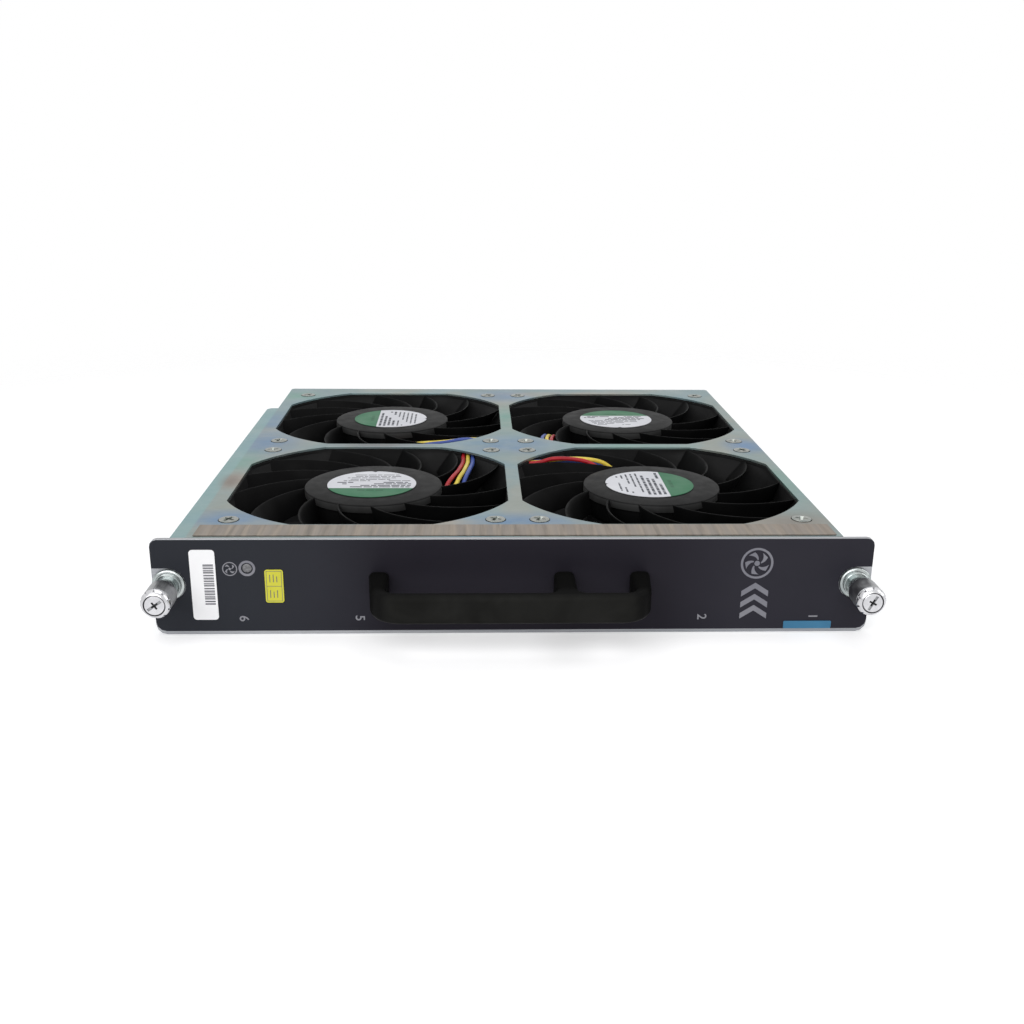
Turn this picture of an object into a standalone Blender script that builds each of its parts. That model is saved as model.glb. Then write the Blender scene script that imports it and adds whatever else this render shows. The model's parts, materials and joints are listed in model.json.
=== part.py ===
# Fan tray for a rack chassis: four axial fans hang under a sheet-metal deck, behind a faceplate
# with a pull handle and two captive screws, and a plug at the rear meets the chassis.
# Metres, +Z up. The faceplate looks along -Y, and Z = 0 is the face that the tray rests on.

import math

import bmesh
import bpy
from mathutils import Matrix, Vector

# Clearances
seat_gap = 0.0003
film_gap = 0.00015
turn_gap = 0.00015
cutter_over = 0.001
fuse_depth = 0.0005

# Sheet metal
sheet = 0.0012
deck_drop = 0.0009
under_fan_space = 0.0028

# Fans and how they are spread
fan_size = 0.119
fan_depth = 0.032
fan_hole_inset = 0.007
fan_lane = 0.0035
fan_corner = 0.006
fan_flange = 0.0045
duct_wall = 0.0018
mouth_depth = 0.011
mouth_lip = 0.0015
mouth_wall = 0.0012
hub_diameter = 0.060
hub_rim = 0.0036
hub_step = 0.0011
hub_roof = 0.0026
hub_wall = 0.002
hub_depth = 0.011
hub_over_rotor = 0.002
hub_edge = 0.0003
label_diameter = 0.0388
label_thickness = 0.0002
label_offset = 0.0008
vane_count = 13
vane_phase = 21.5
vane_sweep = 30.0
vane_drop = 0.0002
vane_height = 0.0098
vane_thickness = 0.0011
vane_lean = 5.0
blade_count = 7
blade_tip_gap = 0.0012
blade_thickness = 0.0028
blade_chord = 44.0
blade_rake = 14.0
blade_top_drop = 0.0006
blade_foot_rise = 0.0008
blade_root = 0.0012
rotor_drop = 0.0124
rotor_floor_gap = 0.0014
rotor_wall = 0.0022
rotor_chamfer = 0.001
shaft_diameter = 0.003
bearing_tube_wall = 0.003
bearing_floor_gap = 0.0022
coil_diameter = 0.045
coil_height = 0.0115
coil_floor_gap = 0.0012
coil_waist = 0.62
coil_pole_half = 34
coil_waist_half = 4

# Deck margins around the block of fans
margin_left = 0.00505
margin_right = 0.00345
margin_front = 0.0134
margin_rear = 0.0109
deck_corner = 0.002
opening_lip = 0.0012
opening_rim = 0.0069
guide_width = 0.0057
guide_stop = 0.0517
guide_corner = 0.0035
gasket_width = 0.0123
gasket_thickness = 0.0004
gasket_inset_left = 0.0027
gasket_inset_right = 0.0025
gasket_setback = 0.0003

# Faceplate
panel_thickness = 0.002
panel_over_left = 0.0123
panel_over_right = 0.0107
panel_top_corner = 0.0028
panel_bottom_corner = 0.004
panel_to_deck = 0.0032
overlay_thickness = 0.0003
overlay_margin = 0.0002
overlay_foot = 0.0015
fixing_height = 0.0206

# Stickers and lamp. Each inset is from the nearer end of the plate to the middle of the piece.
white_sticker_size = (0.0095, 0.0282)
white_sticker_inset = 0.0193
white_sticker_height = 0.0204
yellow_sticker_size = (0.0069, 0.0133)
yellow_sticker_inset = 0.0456
yellow_sticker_height = 0.0199
blue_sticker_size = (0.0186, 0.0031)
blue_sticker_inset = 0.0233
blue_sticker_height = 0.0032
sticker_thickness = 0.0002
sticker_corner_share = 0.14
led_inset = 0.0357
led_height = 0.027
led_diameter = 0.0032
led_edge = 0.0003
led_flange = 0.0008
led_flange_length = 0.0022

# Pull handle
handle_width = 0.1063
handle_offset = -0.00225
handle_height = 0.0112
handle_reach = 0.027
handle_bar = 0.0052
handle_leg = 0.0078
handle_corner = 0.012
handle_fillet = 0.004
handle_edge = 0.0011
handle_taper = 0.0015
middle_leg_from_right = 0.0288
handle_screw_diameter = 0.0035
handle_screw_depth = 0.010
handle_screw_head_diameter = 0.0062
handle_screw_head_height = 0.0016

# Captive screws
captive_inset = 0.0062
ferrule_diameter = 0.0123
ferrule_flange = 0.0015
ferrule_step_diameter = 0.0098
ferrule_step = 0.0015
ferrule_chamfer = 0.0006
barrel_diameter = 0.0078
barrel_length = 0.008
ferrule_tail = 0.001
ferrule_bore = 0.0062
ferrule_lip = 0.0007
ferrule_lip_gap = 0.0004
knob_diameter = 0.011
knob_length = 0.012
knob_reach = 0.021
knob_skirt_depth = 0.0082
knob_skirt_gap = 0.0005
knob_chamfer = 0.0005
thread_tip = 0.0004
captive_thread = 0.0038
captive_head_diameter = 0.0072
end_ring = 0.0022
end_ring_chamfer = 0.0011
end_ring_groove = 0.0004
end_ring_depth = 0.0007
recess_arm = 0.0021
recess_width = 0.0011
recess_depth = 0.0014
collar_width = 0.0012
collar_gap = 0.0002
spring_wire = 0.0004
spring_turns = 4

# Deck screws
screw_head_diameter = 0.0078
screw_shank_diameter = 0.0038
screw_stand = 0.0003
screw_head_depth = 0.0019
screw_length = 0.0075

# Leads and plug
lead_diameter = 0.0017
lead_pitch = 0.0023
lead_drop = 0.00175
lead_bend = 0.0032
lead_side = 0.0038
lead_step = 0.0024
bend_share = 0.3
slot_offset = 0.00255
slot_depth = 0.0038
level_first = 0.0068
level_step = 0.002
cable_diameter = 0.0018
cable_level = 0.0046
plug_width = 0.012
plug_height = 0.0276
plug_bottom = 0.0036
plug_inside = 0.009
plug_ear = 0.006
plug_ear_thickness = 0.0022
plug_catch = 0.0012
plug_catch_length = 0.0028
tongue_width = 0.003
tongue_reach = 0.008
contact_count = 6
contact_length = 0.0036
contact_height = 0.0024
contact_thickness = 0.0003
contact_setback = 0.0006
cable_bend = 0.006
cable_fall = 0.0132
crimp_width = 0.003
crimp_length = 0.006

# Status board behind the faceplate
board_width = 0.052
board_height = 0.026
board_bottom = 0.0055
board_thickness = 0.0014
board_inset = 0.0052
standoff_length = 0.003
standoff_diameter = 0.005
standoff_inset = 0.001
header_size = (0.007, 0.0045, 0.0055)
header_lift = 0.0008

# Chips on the board: place from its left edge and middle, width, height and rise
board_chips = (
    (0.016, 0.001, 0.009, 0.009, 0.0014),
    (0.030, 0.004, 0.006, 0.005, 0.0016),
    (0.030, -0.006, 0.005, 0.004, 0.0014),
    (0.040, 0.005, 0.004, 0.006, 0.0024),
)

# Places worked out from the sizes above. Height is counted from the resting face.
fan_half = fan_size / 2
fan_pitch = fan_size + fan_lane
fan_hole_reach = fan_half - fan_hole_inset
fan_bottom = sheet + under_fan_space
fan_top = fan_bottom + fan_depth
deck_under = fan_top + seat_gap
deck_top = deck_under + sheet
panel_height = deck_top + deck_drop

deck_width = margin_left + fan_pitch + fan_size + margin_right
deck_depth = margin_front + fan_pitch + fan_size + margin_rear
panel_width = panel_over_left + deck_width + panel_over_right
panel_left = -panel_width / 2
panel_right = panel_width / 2
deck_left = panel_left + panel_over_left
deck_right = panel_right - panel_over_right

white_sticker_place = (panel_left + white_sticker_inset, white_sticker_height)
yellow_sticker_place = (panel_left + yellow_sticker_inset, yellow_sticker_height)
blue_sticker_place = (panel_right - blue_sticker_inset, blue_sticker_height)
led_place = (panel_left + led_inset, led_height)

# The origin lies under the middle of the whole length, from the handle to the plug's end.
deck_reach = panel_thickness + panel_to_deck + deck_depth
whole_length = handle_reach + deck_reach + tongue_reach
front = handle_reach - whole_length / 2
panel_back = front + panel_thickness
deck_front = panel_back + panel_to_deck
deck_back = deck_front + deck_depth
wall_front = panel_back + seat_gap

fan_left_x = deck_left + margin_left + fan_half
fan_right_x = fan_left_x + fan_pitch
fan_front_y = deck_front + margin_front + fan_half
fan_rear_y = fan_front_y + fan_pitch
lane_x = (fan_left_x + fan_right_x) / 2
lane_y = (fan_front_y + fan_rear_y) / 2

# Each fan is turned so that its leads leave towards the middle of the tray.
fans = (
    ("fan_1", fan_left_x, fan_front_y, 0),
    ("fan_2", fan_right_x, fan_front_y, 90),
    ("fan_3", fan_left_x, fan_rear_y, -90),
    ("fan_4", fan_right_x, fan_rear_y, 180),
)

# Fans by the height of their leads at the plug, from the lowest
plug_order = ("fan_2", "fan_1", "fan_4", "fan_3")

duct_radius = fan_half - duct_wall
hub_radius = hub_diameter / 2
slot_middle = (hub_radius + duct_radius) / 2 - slot_offset
rotor_radius = hub_radius - hub_over_rotor
opening_half = fan_half - opening_lip
opening_radius = duct_radius + opening_rim


def remove_old_objects():
    for old in list(bpy.data.objects):
        bpy.data.objects.remove(old, do_unlink=True)


def material(name, colour, roughness, metallic=0.0):
    made = bpy.data.materials.new(name)
    made.use_nodes = True
    shader = made.node_tree.nodes["Principled BSDF"]
    shader.inputs["Base Color"].default_value = (*colour, 1.0)
    shader.inputs["Roughness"].default_value = roughness
    shader.inputs["Metallic"].default_value = metallic
    return made


def finish_object(name, mesh_builder, look, place=(0, 0, 0), turn=(0, 0, 0)):
    """Turn a bmesh into a named object."""
    mesh = bpy.data.meshes.new(name)
    mesh_builder.to_mesh(mesh)
    mesh_builder.free()
    mesh.shade_smooth()
    mesh.set_sharp_from_angle(angle=math.radians(32))
    made = bpy.data.objects.new(name, mesh)
    made.location = place
    made.rotation_euler = turn
    if look is not None:
        mesh.materials.append(look)
    bpy.context.scene.collection.objects.link(made)
    return made


def as_guide(piece):
    """Keep a cutter or a joining shape out of the model itself."""
    piece.hide_render = True
    piece.display_type = "WIRE"
    return piece


def boolean(target, other, operation):
    step = target.modifiers.new(operation.lower() + "_" + other.name, "BOOLEAN")
    step.operation = operation
    step.solver = "EXACT"
    step.object = as_guide(other)
    return target


def cut(target, cutter):
    return boolean(target, cutter, "DIFFERENCE")


def fuse(target, other):
    return boolean(target, other, "UNION")


def face_outward(faces):
    """Flip one closed shell if its faces point inwards."""
    base = faces[0].verts[0].co.copy()
    volume = 0.0
    for face in faces:
        corners = [vert.co - base for vert in face.verts]
        for i in range(1, len(corners) - 1):
            volume += corners[0].dot(corners[i].cross(corners[i + 1]))
    if volume < 0:
        for face in faces:
            face.normal_flip()


def skin(builder, rings, closed=False, thin=False):
    """Join equal rings of points into one closed skin, with flat caps unless the rings close up.

    The caps of a thin ring, which runs down one side and up the other, are rows of four-sided faces."""
    rows = [[builder.verts.new(point) for point in ring] for ring in rings]
    count = len(rows[0])
    pairs = list(zip(rows, rows[1:]))
    if closed:
        pairs.append((rows[-1], rows[0]))
    faces = []
    for low, high in pairs:
        for i in range(count):
            j = (i + 1) % count
            faces.append(builder.faces.new((low[i], low[j], high[j], high[i])))
    if not closed:
        for row in (list(reversed(rows[0])), rows[-1]):
            if not thin:
                faces.append(builder.faces.new(row))
                continue
            for i in range(count // 2 - 1):
                corners = (row[i], row[i + 1], row[count - 2 - i], row[count - 1 - i])
                faces.append(builder.faces.new(corners))
    face_outward(faces)


def add_prism(builder, outline, low, high, axis="Z"):
    """A straight prism. The outline lies in XY for axis Z, XZ for axis Y and YZ for axis X."""
    place = {
        "Z": lambda u, v, w: (u, v, w),
        "Y": lambda u, v, w: (u, w, v),
        "X": lambda u, v, w: (w, u, v),
    }[axis]
    skin(builder, [[place(u, v, w) for u, v in outline] for w in (low, high)])


def add_box(builder, low, high):
    outline = [(low[0], low[1]), (high[0], low[1]), (high[0], high[1]), (low[0], high[1])]
    add_prism(builder, outline, low[2], high[2])


def add_turned(builder, profile, segments, centre=(0.0, 0.0), phase=0.0):
    """A solid turned about Z. The profile's points are radius and height, around its section."""
    rows = []
    for radius, height in profile:
        if radius < 1e-7:
            rows.append([builder.verts.new((centre[0], centre[1], height))])
            continue
        row = []
        for i in range(segments):
            angle = phase + 2 * math.pi * i / segments
            x = centre[0] + radius * math.cos(angle)
            y = centre[1] + radius * math.sin(angle)
            row.append(builder.verts.new((x, y, height)))
        rows.append(row)
    pairs = list(zip(rows, rows[1:]))
    if len(rows[0]) > 1 and len(rows[-1]) > 1:
        pairs.append((rows[-1], rows[0]))
    faces = []
    for low, high in pairs:
        for i in range(segments):
            j = (i + 1) % segments
            if len(low) == 1:
                corners = (low[0], high[j], high[i])
            elif len(high) == 1:
                corners = (low[i], low[j], high[0])
            else:
                corners = (low[i], low[j], high[j], high[i])
            faces.append(builder.faces.new(corners))
    face_outward(faces)


def add_tube(builder, points, radius, sides):
    """A round tube with flat ends along a run of points."""
    points = [Vector(point) for point in points]
    tangents = []
    for i in range(len(points)):
        before = points[max(i - 1, 0)]
        after = points[min(i + 1, len(points) - 1)]
        tangents.append((after - before).normalized())
    side = tangents[0].orthogonal().normalized()
    rings = []
    for point, tangent in zip(points, tangents):
        side = (side - tangent * side.dot(tangent)).normalized()
        other = tangent.cross(side)
        ring = []
        for k in range(sides):
            angle = 2 * math.pi * k / sides
            ring.append(point + (side * math.cos(angle) + other * math.sin(angle)) * radius)
        rings.append(ring)
    skin(builder, rings)


def circle(radius, segments, centre=(0.0, 0.0)):
    return [
        (centre[0] + radius * math.cos(2 * math.pi * i / segments),
         centre[1] + radius * math.sin(2 * math.pi * i / segments))
        for i in range(segments)
    ]


def corner_arc(centre, radius, start, end, steps=4):
    """Points of an arc, with its angles in degrees."""
    points = []
    for i in range(steps + 1):
        angle = math.radians(start + (end - start) * i / steps)
        points.append((centre[0] + radius * math.cos(angle), centre[1] + radius * math.sin(angle)))
    return points


def rounded_rectangle(low, high, radii, steps=3):
    """Corner radii run from the lower right, anticlockwise."""
    (left, bottom), (right, top) = low, high
    lower_right, upper_right, upper_left, lower_left = radii
    return (
        corner_arc((right - lower_right, bottom + lower_right), lower_right, -90, 0, steps)
        + corner_arc((right - upper_right, top - upper_right), upper_right, 0, 90, steps)
        + corner_arc((left + upper_left, top - upper_left), upper_left, 90, 180, steps)
        + corner_arc((left + lower_left, bottom + lower_left), lower_left, 180, 270, steps)
    )


def opening_outline(centre):
    """A circle clipped by a square, the shape of each hole in the sheets."""
    start = math.degrees(math.acos(opening_half / opening_radius))
    points = []
    for quarter in range(4):
        turn = 90 * quarter
        points += corner_arc(centre, opening_radius, turn + start, turn + 90 - start, 5)
    return points


def opening_cutter(name, low, high):
    builder = bmesh.new()
    for fan_name, x, y, turn in fans:
        add_prism(builder, opening_outline((x, y)), low, high)
    return finish_object(name, builder, None)


def hole_places():
    """Centres of the deck screws, four to a fan."""
    reach = fan_hole_reach
    return [(x + sx * reach, y + sy * reach)
            for fan_name, x, y, turn in fans for sx in (-1, 1) for sy in (-1, 1)]


# Sheet-metal pieces

def make_deck(look):
    """Top sheet, with the guide flange along its left side."""
    guide_left = deck_left - guide_width
    guide_end = deck_back - guide_stop
    outline = [(deck_left, wall_front), (deck_left, deck_front), (deck_right, deck_front)]
    outline += corner_arc((deck_right - deck_corner, deck_back - deck_corner), deck_corner, 0, 90)
    outline += corner_arc((deck_left + deck_corner, deck_back - deck_corner), deck_corner, 90, 180)
    outline.append((deck_left, guide_end))
    outline += corner_arc((guide_left + guide_corner, guide_end - guide_corner), guide_corner, 90, 180)
    outline.append((guide_left, wall_front))
    builder = bmesh.new()
    add_prism(builder, outline, deck_under, deck_top)
    deck = finish_object("fan_deck", builder, look)
    cut(deck, opening_cutter("deck_openings", deck_under - cutter_over, deck_top + cutter_over))
    builder = bmesh.new()
    head_radius = screw_head_diameter / 2
    shank_radius = screw_shank_diameter / 2
    slope = (head_radius - shank_radius) / screw_head_depth
    rise = cutter_over
    top_radius = head_radius + seat_gap + (rise - screw_stand) * slope
    for centre in hole_places():
        low = deck_under - cutter_over
        low_radius = max(shank_radius + seat_gap, top_radius - (deck_top + rise - low) * slope)
        knee = deck_top + rise - (top_radius - low_radius) / slope
        profile = [(0, low), (low_radius, low), (low_radius, knee), (top_radius, deck_top + rise),
                   (0, deck_top + rise)]
        if low_radius > shank_radius + seat_gap:
            profile.pop(2)
        add_turned(builder, profile, 8, centre)
    return cut(deck, finish_object("deck_screw_holes", builder, None))


def make_pan(look):
    """Lower sheet drawn up into four walls, with the air openings, and holes for what is fixed to it."""
    inner_corner = deck_corner - sheet
    rings = []
    for inset, corner, z in ((0.0, deck_corner, 0.0), (0.0, deck_corner, fan_top),
                             (sheet, inner_corner, fan_top), (sheet, inner_corner, sheet)):
        outline = rounded_rectangle((deck_left + inset, wall_front + inset),
                                    (deck_right - inset, deck_back - inset), (corner,) * 4, 2)
        rings.append([(x, y, z) for x, y in outline])
    builder = bmesh.new()
    skin(builder, rings)
    pan = finish_object("tray_pan", builder, look)
    cut(pan, opening_cutter("pan_openings", -cutter_over, sheet + cutter_over))
    inside = wall_front + sheet
    cut(pan, plate_holes("pan_front_holes", wall_front - cutter_over, inside + cutter_over, False))
    half = plug_width / 2 + seat_gap
    builder = bmesh.new()
    add_box(builder, (lane_x - half, deck_back - sheet - cutter_over, plug_bottom - seat_gap),
            (lane_x + half, deck_back + cutter_over, plug_bottom + plug_height + seat_gap))
    return cut(pan, finish_object("pan_plug_hole", builder, None))


def handle_leg_places():
    """Middles of the three legs, from left to right."""
    left = handle_offset - handle_width / 2 + handle_leg / 2
    right = handle_offset + handle_width / 2 - handle_leg / 2
    return (left, right - middle_leg_from_right, right)


def captive_places():
    return (("left", panel_left + captive_inset), ("right", panel_right - captive_inset))


def plate_holes(name, low, high, with_ferrules):
    """Round holes through the faceplate, its overlay or the pan's front wall, along Y."""
    builder = bmesh.new()
    add_prism(builder, circle(led_diameter / 2 + seat_gap, 12, led_place), low, high, "Y")
    for x in handle_leg_places():
        radius = handle_screw_diameter / 2 + seat_gap
        add_prism(builder, circle(radius, 10, (x, fixing_height)), low, high, "Y")
    if with_ferrules:
        for side, x in captive_places():
            add_prism(builder, circle(barrel_diameter / 2, 16, (x, fixing_height)), low, high, "Y")
    return finish_object(name, builder, None)


def make_gasket(look):
    builder = bmesh.new()
    low = deck_top + film_gap
    add_box(builder, (deck_left + gasket_inset_left, deck_front + gasket_setback, low),
            (deck_right - gasket_inset_right, deck_front + gasket_setback + gasket_width,
             low + gasket_thickness))
    return finish_object("emi_gasket", builder, look)


# Faceplate and what is on it

def make_faceplate(look):
    radii = (panel_bottom_corner, panel_top_corner, panel_top_corner, panel_bottom_corner)
    outline = rounded_rectangle((panel_left, 0.0), (panel_right, panel_height), radii)
    builder = bmesh.new()
    add_prism(builder, outline, front, panel_back, "Y")
    plate = finish_object("faceplate", builder, look)
    return cut(plate, plate_holes("faceplate_holes", front - cutter_over, panel_back + cutter_over, True))


def overlay_front():
    return front - film_gap - overlay_thickness


def make_overlay(look):
    """Printed film on the plate, notched around the captive screws."""
    left = panel_left + overlay_margin
    right = panel_right - overlay_margin
    top = panel_height - overlay_margin
    notch = ferrule_diameter / 2 + seat_gap
    high_z = fixing_height + notch
    low_z = fixing_height - notch
    left_x = panel_left + captive_inset
    right_x = panel_right - captive_inset
    side = panel_top_corner - overlay_margin
    foot = panel_bottom_corner - overlay_margin
    outline = corner_arc((right - foot, overlay_foot + foot), foot, -90, 0, 3)
    outline += [(right, low_z)] + corner_arc((right_x, fixing_height), notch, 270, 90, 8)
    outline += [(right, high_z)] + corner_arc((right - side, top - side), side, 0, 90, 3)
    outline += corner_arc((left + side, top - side), side, 90, 180, 3)
    outline += [(left, high_z)] + corner_arc((left_x, fixing_height), notch, 90, -90, 8)
    outline += [(left, low_z)] + corner_arc((left + foot, overlay_foot + foot), foot, 180, 270, 3)
    builder = bmesh.new()
    add_prism(builder, outline, overlay_front(), front - film_gap, "Y")
    film = finish_object("face_overlay", builder, look)
    cutter = plate_holes("overlay_holes", overlay_front() - cutter_over, front + cutter_over, False)
    return cut(film, cutter)


def make_sticker(name, size, centre, look):
    half_width = size[0] / 2
    half_height = size[1] / 2
    low = (centre[0] - half_width, centre[1] - half_height)
    high = (centre[0] + half_width, centre[1] + half_height)
    round_corner = min(size) * sticker_corner_share
    back = overlay_front() - film_gap
    builder = bmesh.new()
    add_prism(builder, rounded_rectangle(low, high, (round_corner,) * 4, 2), back - sticker_thickness,
              back, "Y")
    return finish_object(name, builder, look)


def make_handle(look):
    """A bar on three legs, drawn as its plan and drawn up to its height."""
    left = handle_offset - handle_width / 2
    right = handle_offset + handle_width / 2
    base = overlay_front() - seat_gap
    face = front - handle_reach
    inner = face + handle_bar
    outline = [(left, base)]
    turn_in = handle_taper + handle_corner
    outline += corner_arc((left + turn_in, face + handle_corner), handle_corner, 180, 270, 5)
    outline += corner_arc((right - turn_in, face + handle_corner), handle_corner, 270, 360, 5)
    outline.append((right, base))
    legs = list(reversed(handle_leg_places()))
    for outer_leg, inner_leg in zip(legs, legs[1:]):
        gap_right = outer_leg - handle_leg / 2
        gap_left = inner_leg + handle_leg / 2
        outline.append((gap_right, base))
        fillet_y = inner + handle_fillet
        outline += corner_arc((gap_right - handle_fillet, fillet_y), handle_fillet, 0, -90, 3)
        outline += corner_arc((gap_left + handle_fillet, fillet_y), handle_fillet, -90, -180, 3)
        outline.append((gap_left, base))
    builder = bmesh.new()
    low = fixing_height - handle_height / 2
    add_prism(builder, outline, low, low + handle_height)
    handle = finish_object("pull_handle", builder, look)
    edge = handle.modifiers.new("rounded_edges", "BEVEL")
    edge.width = handle_edge
    edge.segments = 1
    edge.limit_method = "ANGLE"
    edge.angle_limit = math.radians(60)
    builder = bmesh.new()
    for x in handle_leg_places():
        ring = circle(handle_screw_diameter / 2 + seat_gap, 8, (x, fixing_height))
        add_prism(builder, ring, base - handle_screw_depth, base + cutter_over, "Y")
    return cut(handle, finish_object("handle_screw_holes", builder, None))


def make_handle_screw(number, x, look):
    """Screw from behind the pan's front wall into one of the handle's legs."""
    builder = bmesh.new()
    start = wall_front + sheet + seat_gap
    length = start - overlay_front() + handle_screw_depth - seat_gap
    radius = handle_screw_diameter / 2
    head = handle_screw_head_diameter / 2
    rise = handle_screw_head_height
    profile = [(0, -rise), (head * 0.9, -rise), (head, -rise * 0.6), (head, 0), (radius, 0),
               (radius, length), (0, length)]
    add_turned(builder, profile, 10)
    name = "handle_screw_" + str(number)
    return finish_object(name, builder, look, (x, start, fixing_height), (math.radians(90), 0, 0))


def along_minus_y(x):
    """Place and turn that stand a piece turned about Z on the plate, looking out along -Y."""
    return (x, front, fixing_height), (math.radians(90), 0, 0)


def make_ferrule(side, x, look):
    """Sleeve pressed into the plate, with the bore that holds the spring."""
    flange = ferrule_diameter / 2
    step = ferrule_step_diameter / 2
    barrel = barrel_diameter / 2
    bore = ferrule_bore / 2
    back = -panel_thickness - ferrule_tail
    lip = captive_thread / 2 + ferrule_lip_gap
    start = film_gap
    flange_top = start + ferrule_flange
    step_top = flange_top + ferrule_step
    profile = [
        (lip, back), (barrel - seat_gap, back), (barrel - seat_gap, start), (flange, start),
        (flange, flange_top - ferrule_chamfer), (flange - ferrule_chamfer, flange_top),
        (step, flange_top), (step, step_top), (barrel, step_top), (barrel, barrel_length),
        (lip, barrel_length), (lip, barrel_length - ferrule_lip),
        (bore, barrel_length - ferrule_lip), (bore, back + ferrule_tail), (lip, back + ferrule_tail),
    ]
    builder = bmesh.new()
    add_turned(builder, profile, 16)
    place, turn = along_minus_y(x)
    return finish_object(side + "_screw_ferrule", builder, look, place, turn)


def collar_base():
    return barrel_length - ferrule_lip - seat_gap - collar_width


def make_collar(side, x, look):
    """Clip on the screw that the ferrule's front lip holds back and the spring pushes out."""
    inner = captive_thread / 2 + turn_gap
    outer = ferrule_bore / 2 - collar_gap
    low = collar_base()
    profile = [(inner, low), (outer, low), (outer, low + collar_width), (inner, low + collar_width)]
    builder = bmesh.new()
    add_turned(builder, profile, 14)
    place, turn = along_minus_y(x)
    return finish_object(side + "_screw_collar", builder, look, place, turn)


def make_captive_screw(side, x, look):
    """Knurled knob, polished end ring and the threaded screw, in one piece."""
    knob = knob_diameter / 2
    skirt = barrel_diameter / 2 + knob_skirt_gap
    thread = captive_thread / 2
    start = knob_reach - knob_length
    head = captive_head_diameter / 2
    ring = end_ring
    groove = end_ring_groove
    tip = -panel_thickness - thread_tip
    profile = [
        (0, tip), (thread, tip), (thread, start + knob_skirt_depth), (skirt, start + knob_skirt_depth),
        (skirt, start), (knob - knob_chamfer, start), (knob, start + knob_chamfer),
        (knob, knob_reach - ring),
        (knob - groove, knob_reach - ring), (knob - groove, knob_reach - ring + groove),
        (knob, knob_reach - ring + groove), (knob - end_ring_chamfer, knob_reach),
        (head + groove, knob_reach), (head + groove, knob_reach - end_ring_depth),
        (head, knob_reach - end_ring_depth), (head, knob_reach), (0, knob_reach),
    ]
    builder = bmesh.new()
    add_turned(builder, profile, 16)
    place, turn = along_minus_y(x)
    screw = finish_object(side + "_captive_screw", builder, look, place, turn)
    builder = bmesh.new()
    arm = recess_arm
    width = recess_width / 2
    add_prism(builder, [(arm, width), (width, width), (width, arm), (-width, arm), (-width, width),
                        (-arm, width), (-arm, -width), (-width, -width), (-width, -arm), (width, -arm),
                        (width, -width), (arm, -width)], knob_reach - recess_depth, knob_reach + cutter_over)
    return cut(screw, finish_object(side + "_screw_recess", builder, None, place, turn))


def make_spring(side, x, look):
    """Coil spring between the ferrule's back lip and the collar."""
    low = seat_gap + spring_wire / 2 - panel_thickness
    high = collar_base() - seat_gap - spring_wire / 2
    radius = ferrule_bore / 2 - seat_gap - spring_wire / 2
    steps = spring_turns * 9
    points = []
    for i in range(steps + 1):
        angle = 2 * math.pi * spring_turns * i / steps
        points.append((radius * math.cos(angle), radius * math.sin(angle), low + (high - low) * i / steps))
    builder = bmesh.new()
    add_tube(builder, points, spring_wire / 2, 4)
    place, turn = along_minus_y(x)
    return finish_object(side + "_screw_spring", builder, look, place, turn)


# Fans

def ring_angles():
    """Angles shared by a fan's round and clipped rings and its square outline."""
    clip = math.degrees(math.acos(opening_half / opening_radius))
    corner = math.degrees(math.atan((fan_half - fan_corner) / fan_half))
    eighth = [0.0, clip / 2, clip, (clip + corner) / 2, corner]
    quarter = eighth + [45.0] + [90 - angle for angle in reversed(eighth[1:])]
    return [math.radians(90 * q + angle) for q in range(4) for angle in quarter]


def fold(angle):
    """The same direction within an eighth of a turn, measured from the nearest side's middle."""
    return abs((angle + math.pi / 4) % (math.pi / 2) - math.pi / 4)


def square_reach(angle):
    """Distance from a fan's middle to its rounded square outline."""
    folded = fold(angle)
    middle = fan_half - fan_corner
    if math.tan(folded) * fan_half <= middle + 1e-9:
        return fan_half / math.cos(folded)
    along = middle * (math.cos(folded) + math.sin(folded))
    return along + math.sqrt(along ** 2 - 2 * middle ** 2 + fan_corner ** 2)


def clipped_reach(angle, half, radius):
    """Distance from a fan's middle to a circle clipped by a square."""
    return min(half / math.cos(fold(angle)), radius)


def curved_sheet(builder, inner, outers, start, sweep, top, height, lean, thickness, steps, levels):
    """A thin blade out from one radius, which reaches its own radius at its top and at its foot.

    It turns by sweep on its way out, and by lean on its way down."""
    rings = []
    for i in range(steps + 1):
        share = i / steps
        down = [(k / levels, 1) for k in range(levels + 1)]
        up = [(depth, -1) for depth, side in reversed(down)]
        ring = []
        for depth, side in down + up:
            outer = outers[0] + (outers[1] - outers[0]) * depth
            radius = inner + (outer - inner) * share
            turn = math.radians(start + sweep * share + lean * depth) + side * thickness / 2 / radius
            ring.append((radius * math.cos(turn), radius * math.sin(turn), top - height * depth))
        rings.append(ring)
    skin(builder, rings, thin=True)


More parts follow.
